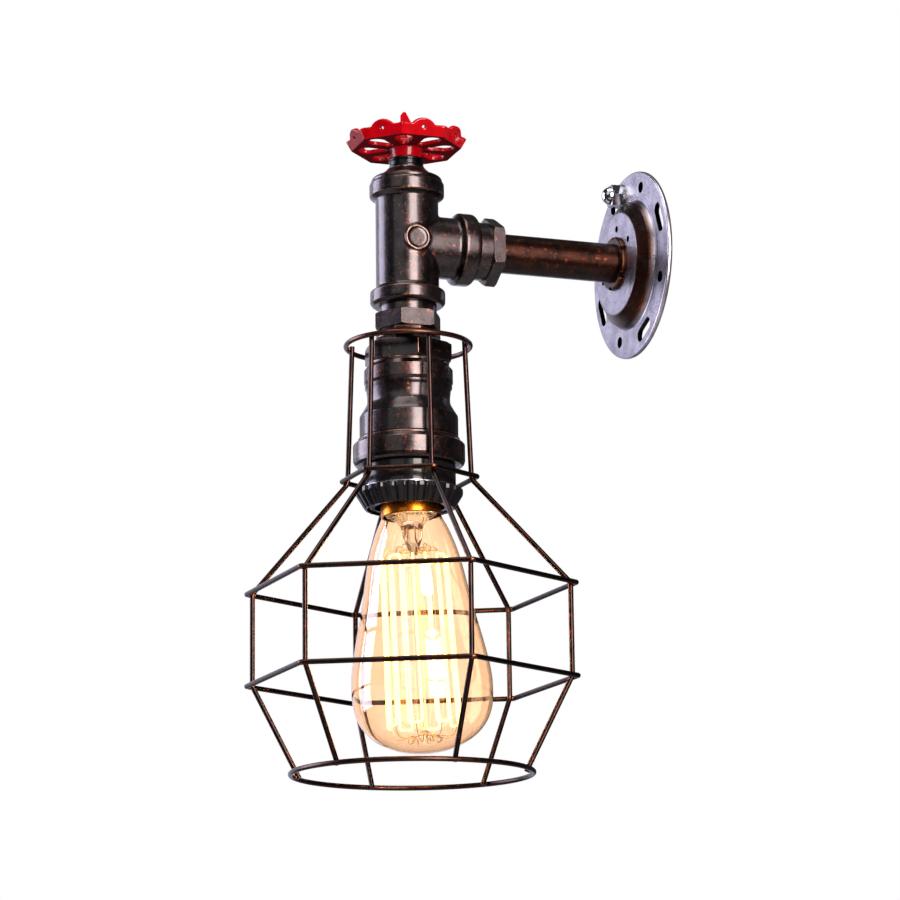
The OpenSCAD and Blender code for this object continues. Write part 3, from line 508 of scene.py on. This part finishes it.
def mark_wear(bm):
    """Stores how far each point stands out from its neighbours, for the rubbed edges."""
    bm.normal_update()
    layer = bm.verts.layers.float.new("wear")
    for vert in bm.verts:
        total = 0.0
        for edge in vert.link_edges:
            to = edge.other_vert(vert).co - vert.co
            if to.length > 1e-6:
                total -= to.normalized().dot(vert.normal)
        broadest = max((f.calc_area() / f.calc_perimeter() for f in vert.link_faces), default=1.0)
        on_edge = max(0.0, min(1.0, (0.3 - broadest) * 10))
        vert[layer] = on_edge * max(0.0, min(1.0, total / max(len(vert.link_edges), 1) * 3.0))


def piece(name, bm, body, material, slot, *nodes, place=None, angle=SMOOTH_ANGLE):
    """Finished piece in metres on its body, standing for its CAD nodes."""
    mark_wear(bm)
    scale = Matrix.Diagonal((MM, MM, MM, 1.0))
    bmesh.ops.transform(bm, matrix=scale @ (place or Matrix.Identity(4)), verts=bm.verts[:])
    mesh = bpy.data.meshes.new(name)
    bm.to_mesh(mesh)
    bm.free()
    mesh.materials.append(material)
    mesh.shade_smooth()
    mesh.set_sharp_from_angle(angle=angle)
    made = bpy.data.objects.new(name, mesh)
    bpy.context.scene.collection.objects.link(made)
    weights = made.modifiers.new("even_shading", "WEIGHTED_NORMAL")
    weights.keep_sharp = True
    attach(made, body)
    if nodes:
        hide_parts(*nodes)
    return made


def edged_piece(name, node, width, body, material, slot):
    """Piece that takes its CAD node's own shape, with rounded edges."""
    piece(name, edge_softened(copy_of(node), width), body, material, slot, node)


# ---------------------------------------------------------------- camera

camera_distance = 1486.94      # from the lamp axis, level
camera_height = -427.6
camera_azimuth = math.radians(70.4)
camera_pitch = math.radians(12.51)
camera_yaw = math.radians(0.722)
camera_roll = math.radians(-0.699)
level_back = Vector((math.sin(camera_azimuth), -math.cos(camera_azimuth), 0))
level_right = Vector((math.cos(camera_azimuth), math.sin(camera_azimuth), 0))
heading = -level_back * math.cos(camera_yaw) + level_right * math.sin(camera_yaw)
look = heading * math.cos(camera_pitch) + Vector((0, 0, 1)) * math.sin(camera_pitch)
side = look.cross(Vector((0, 0, 1))).normalized()
up = side.cross(look)
right = side * math.cos(camera_roll) + up * math.sin(camera_roll)
up = up * math.cos(camera_roll) - side * math.sin(camera_roll)
turn = Matrix((right, up, -look)).transposed().to_4x4()
spot = (Vector((0, lamp_y, 0)) + level_back * camera_distance + Vector((0, 0, camera_height))) * MM
camera_data = bpy.data.cameras.new("camera")
camera_data.lens = 132.9
camera_data.sensor_width = 36.0
camera_data.clip_end = 30.0
camera = bpy.data.objects.new("camera", camera_data)
camera.matrix_world = Matrix.Translation(spot) @ turn
bpy.context.scene.collection.objects.link(camera)
bpy.context.scene.camera = camera


# ---------------------------------------------------------------- wall plate and arm

def wall_plate():
    """Pressed plate with a hollow boss, before its round holes, curved slots and boss-face holes are cut."""
    radius = girth("wall_plate")
    rise = -box_mm("wall_plate")[0].y
    sheet, bend = 2.4, 1.0
    base, face, pipe = 30.0, 22.75, 9.3      # radii of the boss's foot and face, and of the pipe's hole
    back = 0.002                             # keeps the back off the wall's plane
    outline = [(radius, back), (radius, sheet), (base + 1.0, sheet), (base - 0.5, sheet + 3.2),
               (face + 3.6, rise - 1.6), (face + 1.9, rise), (pipe, rise), (pipe, rise - sheet),
               (face - 0.2, rise - sheet), (base - 2.4, back)]
    return turned_with_radius(outline, bend, 192)


def plate_cutters():
    """The plate's holes as solids, all in its own frame with +Z off the wall."""
    parts = []
    pitch, hole_angle, hole_d = 37.4, 67.0, 5.5
    slot_pitch, slot_angle, slot_half, slot_r = 38.0, 22.0, 7.0, 3.2
    knockout_pitch, knockout_angles, knockout_d = 16.8, (30, 85, 197), 3.2
    deep, slot_deep = 12.0, 8.0

    def drill(angle, radius, diameter):
        """Adds one round cutter at this angle and radius."""
        bm = bmesh.new()
        spot = Matrix.Rotation(math.radians(angle), 4, "Z") @ Matrix.Translation((radius, 0, deep / 2 - 1))
        bmesh.ops.create_cone(bm, cap_ends=True, segments=40, radius1=diameter / 2, radius2=diameter / 2,
                              depth=deep + 2, matrix=spot)
        parts.append(bm)

    for i in range(4):
        drill(hole_angle + 90 * i, pitch, hole_d)
        slot_bm = bmesh.new()
        bmesh.ops.create_circle(slot_bm, cap_ends=True, segments=32, radius=slot_r)
        for vert in slot_bm.verts:
            along = math.radians(slot_half) * (1 if vert.co.y > 0 else -1)
            across = slot_pitch + vert.co.x
            angle = math.radians(slot_angle + 90 * i) + along + vert.co.y / slot_pitch
            vert.co = Vector((across * math.cos(angle), across * math.sin(angle), -1.0))
        grown = bmesh.ops.extrude_face_region(slot_bm, geom=slot_bm.faces[:])
        bmesh.ops.translate(slot_bm, vec=(0, 0, slot_deep),
                            verts=[v for v in grown["geom"] if isinstance(v, bmesh.types.BMVert)])
        bmesh.ops.recalc_face_normals(slot_bm, faces=slot_bm.faces[:])
        parts.append(slot_bm)
    for angle in knockout_angles:
        drill(angle, knockout_pitch, knockout_d)
    return joined(parts)


def bolt_seat():
    """Cutter for the sunk seat of the earth bolt's head, in the plate's back."""
    seat_r, seat_middle, seat_depth = 5.55, 0.1, 2.2
    bolt_pitch, bolt_angle = 38.0, 105.0
    seat = bmesh.new()
    turn_by = Matrix.Rotation(math.radians(bolt_angle), 4, "Z")
    spot = turn_by @ Matrix.Translation((bolt_pitch, 0, seat_middle))
    bmesh.ops.create_cone(seat, cap_ends=True, segments=48, radius1=seat_r, radius2=seat_r,
                          depth=seat_depth, matrix=spot)
    return seat


def cut(bm, tool):
    """bm with tool taken out of it."""
    holders = []
    for name, source in (("stock", bm), ("tool", tool)):
        mesh = bpy.data.meshes.new(name)
        source.to_mesh(mesh)
        source.free()
        holder = bpy.data.objects.new(name, mesh)
        bpy.context.scene.collection.objects.link(holder)
        holders.append(holder)
    difference = holders[0].modifiers.new("cut", "BOOLEAN")
    difference.operation = "DIFFERENCE"
    difference.solver = "EXACT"
    difference.object = holders[1]
    evaluated = holders[0].evaluated_get(bpy.context.evaluated_depsgraph_get())
    result = bmesh.new()
    result.from_mesh(evaluated.to_mesh())
    evaluated.to_mesh_clear()
    for holder in holders:
        mesh = holder.data
        bpy.data.objects.remove(holder)
        bpy.data.meshes.remove(mesh)
    return result


plate = cut(cut(wall_plate(), plate_cutters()), bolt_seat())
piece("wall_plate_pressed", edge_softened(plate, 0.3, 50.0), "fixture", PLATE, "plate_steel", "wall_plate",
      place=WALL)
edged_piece("face_nut_notched", "face_nut", 0.25, "fixture", PIPE, "copper_bronze")
edged_piece("cap_nut_domed", "cap_nut", 0.25, "fixture", CHROME, "chrome")


def arm_pipe():
    """Pipe with deburred ends."""
    low, high = box_mm("arm_pipe")
    outer, wall, length = girth("arm_pipe"), 1.85, high.y - low.y
    return turned_with_radius([(outer, 0), (outer, length), (outer - wall, length), (outer - wall, 0)], 0.35)


piece("arm_pipe_drawn", arm_pipe(), "fixture", PIPE, "copper_bronze", "arm_pipe",
      place=Matrix.Translation((0, box_mm("arm_pipe")[1].y, 0)) @ WALL)
edged_piece("arm_bushing_cast", "arm_bushing", 0.45, "fixture", FITTING, "antique_bronze")


# ---------------------------------------------------------------- tee, bonnet and valve head

SPINDLE_BORE = 3.3
piece("tee_cast", cast("tee", 0.45, 5), "fixture", FITTING, "antique_bronze", "tee")


def bonnet():
    """Domed bonnet with an ogee shoulder and its screwed spigot."""
    base, crown = top("tee"), top("bonnet")
    edge, spigot_r, packing_r = girth("bonnet"), 12.0, 5.7
    spigot_foot = base - 8
    shoulder = flowing([(edge, 0, base + 0.9), (edge - 0.7, 0, base + 2.0), (edge - 3.6, 0, base + 3.2),
                        (10.8, 0, base + 4.9), (9.6, 0, crown - 0.5)], 5)
    outline = [(SPINDLE_BORE, crown), (9.3, crown)] + [(p.x, p.z) for p in reversed(shoulder)]
    outline += [(edge, base), (spigot_r, base), (spigot_r, spigot_foot), (packing_r, spigot_foot),
                (packing_r, base + 2), (SPINDLE_BORE, base + 2)]
    return turned(outline)


piece("bonnet_domed", bonnet(), "fixture", FITTING, "antique_bronze", "bonnet", place=LAMP)


def gland_nut():
    """Round gland nut with a waist under the wheel."""
    low, high, r = foot("gland_nut"), top("gland_nut"), girth("gland_nut")
    return turned_with_radius([(SPINDLE_BORE, low), (r, low), (r, low + 1.2), (r - 0.5, low + 1.6),
                               (r - 0.5, high - 1.5), (r - 0.1, high - 1.1), (r - 0.1, high),
                               (SPINDLE_BORE, high)], 0.3)


piece("gland_nut_turned", gland_nut(), "fixture", IRON, "blackened_iron", "gland_nut", place=LAMP)
piece("handwheel_enamelled", cast("handwheel", 0.34, 3), "valve_wheel", RED, "red_paint", "handwheel")
edged_piece("spindle_painted", "spindle", 0.25, "valve_wheel", RED, "red_paint")
edged_piece("wheel_nut_painted", "wheel_nut", 0.25, "valve_wheel", RED, "red_paint")

# ---------------------------------------------------------------- fittings under the tee

edged_piece("lower_bushing_cast", "lower_bushing", 0.4, "fixture", FITTING, "antique_bronze")


TUBE_BORE = 5.1          # hole that the threaded tube passes through


def clamp_disc():
    """Disc with a bevelled upper edge."""
    low, high, r = foot("clamp_disc"), top("clamp_disc"), girth("clamp_disc")
    return turned_with_radius([(TUBE_BORE, low), (r, low), (r, low + 1.7), (r - 1.4, high),
                               (TUBE_BORE, high)], 0.45)


piece("clamp_disc_turned", clamp_disc(), "fixture", BAND, "copper_bronze", "clamp_disc", place=LAMP)
edged_piece("cage_strap_cut", "cage_strap", 0.3, "fixture", WIRE, "wire_bronze")

# ---------------------------------------------------------------- cage


def ring_height(node):
    """Height of a ring's centre line."""
    return (foot(node) + top(node)) / 2


def corner_radius(node):
    """Centre-line corner radius of a six-sided ring, whose corners are a little upset."""
    return (girth(node) - wire_d * 1.06 / 2) / math.cos(cage_turn)


def around(radius, angle, z):
    """Point at this radius, angle and height about the lamp axis."""
    return (radius * math.cos(angle), radius * math.sin(angle), z)


def ring_piece(name, node, path):
    """Closed ring of cage wire."""
    ring = bent_wire(path, wire_d, closed=True, fineness=4)
    piece(name, ring, "fixture", WIRE, "wire_bronze", node, place=LAMP)


def round_ring(name, node):
    """Ring bent to a circle."""
    radius, count = girth(node) - wire_d / 2, 120
    ring_piece(name, node, [around(radius, 2 * math.pi * i / count, ring_height(node)) for i in range(count)])


def six_ring(name, node, bend=1.8):
    """Ring bent to six sides, with a small radius at each corner."""
    corners = [around(corner_radius(node), cage_turn + math.pi / 3 * i, ring_height(node)) for i in range(6)]
    ring_piece(name, node, rounded(corners, bend, closed=True, steps=6))


round_ring("neck_ring_bent", "neck_ring")
six_ring("collar_ring_bent", "collar_ring")
six_ring("upper_ring_bent", "upper_ring")
six_ring("lower_ring_bent", "lower_ring")
round_ring("bottom_ring_bent", "bottom_ring")

tuck = wire_d + cage_fit
corner_tuck = tuck / math.sin(math.radians(60))
neck_r = girth("neck_ring") - wire_d / 2 - tuck
foot_ring_r = girth("bottom_ring") - wire_d / 2 - tuck
belly_r = corner_radius("lower_ring") - corner_tuck
leg_slope = (belly_r - foot_ring_r) / (ring_height("lower_ring") - ring_height("bottom_ring"))
foot_r = foot_ring_r + tuck - tuck * math.sqrt(1 + leg_slope ** 2) - leg_slope * wire_d / 2
end_lift = 0.6         # keeps the slanting ends of the wires above the bottom ring's underside
wire_route = [(neck_r, 0, ring_height("neck_ring") + wire_d / 2),
              (corner_radius("collar_ring") - corner_tuck, 0, ring_height("collar_ring") - 1.1),
              (corner_radius("upper_ring") - corner_tuck, 0, ring_height("upper_ring")),
              (belly_r, 0, ring_height("lower_ring")),
              (foot_r + leg_slope * end_lift, 0, ring_height("bottom_ring") - wire_d / 2 + end_lift)]


def cage_wires():
    """The six long wires, each bent three times."""
    parts = []
    for k in range(6):
        spin = Matrix.Rotation(cage_turn + math.pi / 3 * k, 3, "Z")
        path = [spin @ p for p in rounded(wire_route, 5.0, steps=7)]
        parts.append(bent_wire(path, wire_d, fineness=4))
    return joined(parts)


piece("cage_wires_bent", cage_wires(), "fixture", WIRE, "wire_bronze", "neck_wires", "shoulder_wires",
      "belly_wires", "leg_wires", place=LAMP)


def cage_welds():
    """A small brazed bead wherever a wire meets a ring."""
    parts = []
    bead = Matrix.Diagonal((1.05, 1.15, 1.15, 1))
    apart, set_in = 0.95, 0.25       # the two beads at a corner lie this far to each side and this far in
    rings = ("neck_ring", "collar_ring", "upper_ring", "lower_ring", "bottom_ring")
    for ring, point in zip(rings, wire_route):
        six_sided = ring not in ("neck_ring", "bottom_ring")
        outer = corner_radius(ring) if six_sided else girth(ring) - wire_d / 2
        middle = (point[0] + outer) / 2
        for k in range(6):
            for side_way in ((-1, 1) if six_sided else (0,)):
                bm = bmesh.new()
                spot = (middle - set_in * abs(side_way), side_way * apart, ring_height(ring))
                shape = Matrix.Translation(spot) @ bead
                bmesh.ops.create_icosphere(bm, subdivisions=2, radius=1.0, matrix=shape)
                bmesh.ops.rotate(bm, verts=bm.verts[:], cent=(0, 0, 0),
                                 matrix=Matrix.Rotation(cage_turn + math.pi / 3 * k, 3, "Z"))
                parts.append(bm)
    return joined(parts)


piece("cage_welds_brazed", cage_welds(), "fixture", WIRE, "wire_bronze", place=LAMP)

# ---------------------------------------------------------------- socket cover and lampholder

cover_bore = 17.3
edged_piece("cover_nut_chamfered", "cover_nut", 0.4, "fixture", FITTING, "antique_bronze")


def cover_band():
    """Upper band of the socket cover, with a step at its top."""
    low, h, r = foot("cover_band"), height("cover_band"), girth("cover_band")
    return turned_with_radius([(cover_bore, low), (r - 0.9, low), (r, low + 1.6), (r, low + h - 3.4),
                               (r - 1.6, low + h - 1.4), (r - 1.6, low + h), (cover_bore, low + h)], 0.5)


def cover_barrel():
    """Waist and barrel of the socket cover in one sweep."""
    low, high, r = foot("cover_barrel"), top("cover_barrel"), girth("cover_barrel")
    waist, mid = r - 3.0, low + 15.1
    swept = flowing([(r - 0.1, 0, mid - 4.6), (r - 0.9, 0, mid - 3.2), (waist + 0.7, 0, mid - 0.9),
                     (waist - 0.4, 0, mid + 1.4), (waist - 0.6, 0, mid + 4), (waist - 0.2, 0, high - 1.8)], 4)
    outline = [(cover_bore, low), (r - 0.5, low), (r, low + 0.6), (r, mid - 5.4)]
    outline += [(p.x, p.z) for p in swept]
    return turned(outline + [(waist + 0.4, high - 0.9), (waist + 0.4, high), (cover_bore, high)])


def cover_flange():
    """Lower band of the socket cover, rounded below and stepped above."""
    low, h, r = foot("cover_flange"), height("cover_flange"), girth("cover_flange")
    return turned_with_radius([(cover_bore, low), (r - 1.6, low), (r - 0.5, low + 1), (r, low + 2.4),
                               (r, low + h - 3), (r - 0.5, low + h - 2.4), (r - 2.2, low + h - 1),
                               (r - 2.2, low + h),
                               (cover_bore, low + h)], 0.45)


piece("cover_band_turned", cover_band(), "fixture", BAND, "copper_bronze", "cover_band", place=LAMP)
piece("cover_barrel_turned", cover_barrel(), "fixture", FITTING, "antique_bronze", "cover_barrel", place=LAMP)
piece("cover_flange_turned", cover_flange(), "fixture", BAND, "copper_bronze", "cover_flange", place=LAMP)


def holder_body():
    """Lampholder: plain above, threaded for the shade ring below."""
    high, low, r = top("holder_body"), foot("holder_body"), girth("holder_body")
    ledge, thread_top = foot("cover_flange"), top("ring_washer")
    thread_r, thread_deep, pitch = 19.0, 0.6, 2.5
    neck_r, mouth_r, mouth_deep, bore, roof = 16.9, 16.1, 5.5, 14.65, 3.4
    outline = [(TUBE_BORE, high), (neck_r - 1, high), (neck_r, high - 1), (neck_r, ledge), (r - 0.6, ledge),
               (r, ledge - 0.6), (r, thread_top + 0.4), (r - 0.4, thread_top), (thread_r - 0.5, thread_top)]
    crest = thread_top - 1.2
    while crest > low + 1.4:
        outline += [(thread_r - thread_deep, crest), (thread_r, crest - 0.7), (thread_r, crest - 1.2),
                    (thread_r - thread_deep, crest - 1.9)]
        crest -= pitch
    outline += [(thread_r - thread_deep, low + 0.2), (thread_r - 0.8, low), (mouth_r, low),
                (mouth_r, low + mouth_deep), (bore, low + mouth_deep), (bore, high - roof),
                (TUBE_BORE, high - roof)]
    return turned(outline)


piece("holder_body_moulded", holder_body(), "fixture", PHENOLIC, "black_phenolic", "holder_body", place=LAMP)


def shade_ring():
    """Cone ring with scalloped grips round it."""
    low, h, r = foot("shade_ring"), height("shade_ring"), girth("shade_ring")
    flutes, bore, foot_r, grip_deep = 30, 19.3, 20.5, 0.95
    outline = rounded([(bore, 0, low + h), (bore, 0, low), (foot_r, 0, low), (r, 0, low + h - 2.2),
                       (r, 0, low + h)], 0.5, closed=True)
    bm = turned([(p.x, p.z) for p in outline], flutes * 10)
    for vert in bm.verts:
        radius = math.hypot(vert.co.x, vert.co.y)
        if radius > bore + 0.6:
            grip = max(0.0, math.cos(flutes * math.atan2(vert.co.y, vert.co.x))) ** 0.7
            inner = (radius - bore) / (r - bore)
            factor = 1 - grip_deep * grip * min(1.0, inner * 2.2) / radius
            vert.co.x *= factor
            vert.co.y *= factor
    return bm


piece("shade_ring_fluted", shade_ring(), "ring", PHENOLIC, "black_phenolic", "shade_ring", place=LAMP)

# ---------------------------------------------------------------- bulb, with heights from its pivot

cap_r, skirt_r = 13.1, 13.9
cap_top, skirt_top, cap_foot = 9.5, -6.9, -13.8
glass_foot = -122.3
glass_r = 32.0
glass_wall = 0.8
glass_h = cap_foot - glass_foot
loop_top = cap_foot - 0.18 * glass_h
loop_foot = cap_foot - 0.885 * glass_h
stem_foot = cap_foot - 0.9 * glass_h
loop_top_r, loop_foot_r = 15.0, 16.5
strands = 16


def bulb_cap():
    """Rolled brass cap: a knuckle thread of one turn every 3.63 mm over a plain skirt."""
    pitch, depth, wall = 3.63, 0.75, 0.35
    waves = int((cap_top - skirt_top) / pitch)
    fine = 10
    wave = [(cap_r - depth / 2 + depth / 2 * math.cos(2 * math.pi * i / fine),
             skirt_top + 0.9 + pitch * i / fine)
            for i in range(fine * (waves - 1) + 1)]
    thread = turned(wave, 96, closed=False, rise=pitch)
    skirt_out = rounded([(cap_r - 0.9, 0, skirt_top + 2.2), (cap_r - 0.5, 0, skirt_top + 0.4),
                         (skirt_r, 0, skirt_top - 0.8), (skirt_r, 0, cap_foot + 0.5),
                         (skirt_r - 0.2, 0, cap_foot), (skirt_r - wall, 0, cap_foot),
                         (skirt_r - wall, 0, skirt_top - 1.2), (cap_r - 1.3, 0, skirt_top + 0.2),
                         (cap_r - 1.3, 0, skirt_top + 2.2)], 0.4, closed=True)
    skirt = turned([(p.x, p.z) for p in skirt_out])
    crown_out = rounded([(cap_r - 0.75, 0, cap_top - 4.4), (cap_r - 0.55, 0, cap_top - 2.0),
                         (cap_r - 1.3, 0, cap_top - 0.3), (cap_r - 2.4, 0, cap_top),
                         (cap_r - 4.0, 0, cap_top), (cap_r - 4.0, 0, cap_top - wall),
                         (cap_r - 2.4, 0, cap_top - wall), (cap_r - 1.3, 0, cap_top - 2.2),
                         (cap_r - 1.2, 0, cap_top - 4.4)], 0.4, closed=True)
    crown = turned([(p.x, p.z) for p in crown_out])
    return joined([thread, skirt, crown])


piece("bulb_cap_threaded", bulb_cap(), "bulb", BRASS, "brass", "bulb_cap", place=BULB)


def glass_outline():
    """Tapered bulb outline down from the cap, from shares of its greatest radius and its height."""
    shares = [(0.418, -0.02), (0.425, 0.0), (0.452, 0.018), (0.55, 0.083), (0.665, 0.193), (0.787, 0.378),
              (0.919, 0.552), (0.988, 0.665), (1.0, 0.75), (0.965, 0.829), (0.863, 0.891), (0.69, 0.942),
              (0.44, 0.98), (0.2, 0.9965), (0.0, 1.0)]
    return [(r * glass_r, 0, cap_foot - z * glass_h) for r, z in shares]


def bulb_glass():
    """Thin blown wall, its neck let into the cap."""
    outer = flowing(glass_outline(), 5)
    outer[-1].x = 0.0
    inner = []
    for i, point in enumerate(outer):
        along = (outer[min(i + 1, len(outer) - 1)] - outer[max(i - 1, 0)]).normalized()
        inward = Vector((along.z, 0, -along.x))
        inner.append(point + inward * glass_wall)
    inner[-1] = Vector((0, 0, outer[-1].z + glass_wall))
    outline = [(p.x, p.z) for p in reversed(inner)] + [(p.x, p.z) for p in outer]
    return turned(outline, 128, closed=False)


piece("bulb_glass_blown", bulb_glass(), "bulb", AMBER, "amber_glass", "bulb_glass", place=BULB)


def bulb_stem():
    """Flared and pinched glass stem, with its rod and button."""
    outline = flowing([(0, 0, cap_foot + 1.8), (8, 0, cap_foot + 1.5), (12.0, 0, cap_foot + 0.6),
                       (8.4, 0, cap_foot - 1.4), (5.4, 0, cap_foot - 4.5), (4.4, 0, cap_foot - 10),
                       (2.8, 0, cap_foot - 14.5), (1.6, 0, cap_foot - 18), (1.3, 0, cap_foot - 24),
                       (1.3, 0, stem_foot + 1.6), (1.5, 0, stem_foot - 0.6),
                       (2.2, 0, stem_foot - 2), (1.9, 0, stem_foot - 3.6), (0, 0, stem_foot - 4.4)], 4)
    return turned([(p.x, p.z) for p in outline], 48)


piece("bulb_stem_drawn", bulb_stem(), "bulb", STEM_GLASS, "clear_glass", "bulb_stem", place=BULB)


def bulb_leads():
    """Two lead wires down the stem, bent out to the filament's ends."""
    lead_d = 0.7
    parts = []
    for way in (-1, 1):
        path = rounded([(3.0 * way, 0, cap_foot - 3), (3.6 * way, 0, cap_foot - 11),
                        (7.0 * way, 0, loop_top + 2.5), ((loop_top_r - 0.2) * way, 0, loop_top + 0.4)],
                       2.5, steps=6)
        parts.append(bent_wire(path, lead_d, fineness=2))
    return joined(parts)


piece("bulb_leads_bent", bulb_leads(), "bulb", NICKEL, "nickel_wire", "bulb_leads", place=BULB)


def filament():
    """One thread hung in upright hairpins round the stem."""
    filament_d, bend = 1.1, 1.6
    step = 2 * math.pi / strands
    corners = []
    for i in range(strands):
        ends = [(loop_top_r, loop_top), (loop_foot_r, loop_foot)]
        if i % 2:
            ends.reverse()
        for radius, z in ends:
            corners.append(around(radius, step * i, z))
    return bent_wire(rounded(corners, bend, steps=5), filament_d, fineness=2)


piece("filament_hairpins", filament(), "bulb", FILAMENT, "filament", "filament", place=BULB)


def hooks():
    """Fine support wires, each with a curl before it takes the filament's bend."""
    hook_d, curl_r, curl_out, curl_side = 0.42, 1.4, 6.6, 0.25
    curl_steps = (0.0, 0.9, 1.8, 2.7, 3.6, 4.5, 5.4, 6.28)
    parts = []
    step = 2 * math.pi / strands
    for i in range(strands // 2):
        for angle, radius, z, way, start_z in (
                (step * (2 * i + 0.5), loop_foot_r, loop_foot, -1, stem_foot - 2.4),
                (step * (2 * i - 0.5), loop_top_r, loop_top, 1, loop_top + 2.4)):
            if way == 1 and i == 0:      # the thread's two ends are on the leads there
                continue
            curl = [(1.2, 0, start_z), (4.5, 0, start_z + way * 0.8)]
            curl += [(curl_out + curl_r * math.sin(t), curl_side * (t - 3),
                      start_z + way * (2.2 - curl_r * math.cos(t))) for t in curl_steps]
            curl += [(radius - 3.4, 0, start_z + way * 1.2), (radius - 0.9, 0, z - way * 0.9),
                     (radius + 0.5, 0, z - way * 0.3)]
            turn_by = Matrix.Rotation(angle, 3, "Z")
            parts.append(bent_wire([turn_by @ p for p in flowing(curl, 3)], hook_d, fineness=1))
    return joined(parts)


piece("filament_hooks_curled", hooks(), "bulb", NICKEL, "nickel_wire", "hooks", place=BULB)

# ---------------------------------------------------------------- CAD nodes that stay

CARRIED = {
    "rear_nut": FITTING, "earth_bolt": ZINC, "earth_washer": ZINC, "nipple": ZINC, "nipple_nut": ZINC,
    "holder_block": PORCELAIN, "terminal_screws": BRASS, "screw_shell": BRASS, "centre_contact": BRASS,
    "ring_washer": ZINC, "bulb_insulator": BLACK_GLASS, "bulb_tip": SOLDER, "live_wire": RED_WIRE,
    "neutral_wire": BLACK_WIRE,
}
for node, material in CARRIED.items():
    for slot in frame["nodes"][node].material_slots:
        slot.material = material

# ---------------------------------------------------------------- floor, backdrop and light

floor_level, floor_reach = -1.5, 1.8      # metres

floor_bm = bmesh.new()
bmesh.ops.create_grid(floor_bm, x_segments=1, y_segments=1, size=floor_reach)
bmesh.ops.translate(floor_bm, verts=floor_bm.verts[:], vec=(0, 0, floor_level))
floor_mesh = bpy.data.meshes.new("floor")
floor_bm.to_mesh(floor_mesh)
floor_bm.free()
floor_mesh.materials.append(FLOOR_PAINT)
floor = bpy.data.objects.new("floor", floor_mesh)
bpy.context.scene.collection.objects.link(floor)

lit_centre = Vector((0, lamp_y, -90)) * MM


def softbox(name, azimuth, elevation, distance, width, tall, brightness, colour):
    """Rectangular area light that faces the lamp from the given side: angles in degrees, sizes in metres."""
    data = bpy.data.lights.new(name, "AREA")
    data.shape = "RECTANGLE"
    data.size = width
    data.size_y = tall
    data.energy = brightness * math.pi * width * tall
    data.color = srgb(colour)[:3]
    a, e = math.radians(azimuth), math.radians(elevation)
    back = Vector((math.sin(a) * math.cos(e), -math.cos(a) * math.cos(e), math.sin(e)))
    light = bpy.data.objects.new(name, data)
    aim = back.to_track_quat("Z", "Y").to_matrix().to_4x4()
    light.matrix_world = Matrix.Translation(lit_centre + back * distance) @ aim
    light.visible_camera = False
    bpy.context.scene.collection.objects.link(light)
    return light


softbox("key_strip", 94, 8, 1.7, 0.8, 1.5, 25, "fff0ea")
softbox("left_panel", -38, 10, 1.8, 1.0, 1.7, 9, "e6e4ff")
softbox("rear_panel", -92, 8, 1.8, 1.9, 1.8, 1.0, "e2e0f4")
softbox("top", 60, 74, 1.6, 1.1, 1.1, 6, "fff8f2")
softbox("front_fill", 40, 28, 1.9, 1.2, 1.2, 1.2, "ffffff")


def studio_world():
    """Plain white surroundings behind the lamp, and a dim grey room for its reflections."""
    world = bpy.data.worlds.new("studio")
    bpy.context.scene.world = world
    world.use_nodes = True
    tree = world.node_tree
    tree.nodes.clear()
    looked_at = add(tree, "LightPath", out="Is Camera Ray")
    through_glass = add(tree, "LightPath", out="Is Transmission Ray")
    seen = add(tree, "Math", {0: looked_at, 1: through_glass}, operation="MAXIMUM")
    room = add(tree, "Background", {"Color": srgb("cfcdd2"), "Strength": 0.10})
    white = add(tree, "Background", {"Color": srgb("ffffff"), "Strength": 1.0})
    add(tree, "OutputWorld", {"Surface": add(tree, "MixShader", {0: seen, 1: room, 2: white})})


studio_world()
scene = bpy.context.scene
scene.view_settings.view_transform = "Standard"
scene.view_settings.look = "None"
scene.cycles.sample_clamp_indirect = 4.0
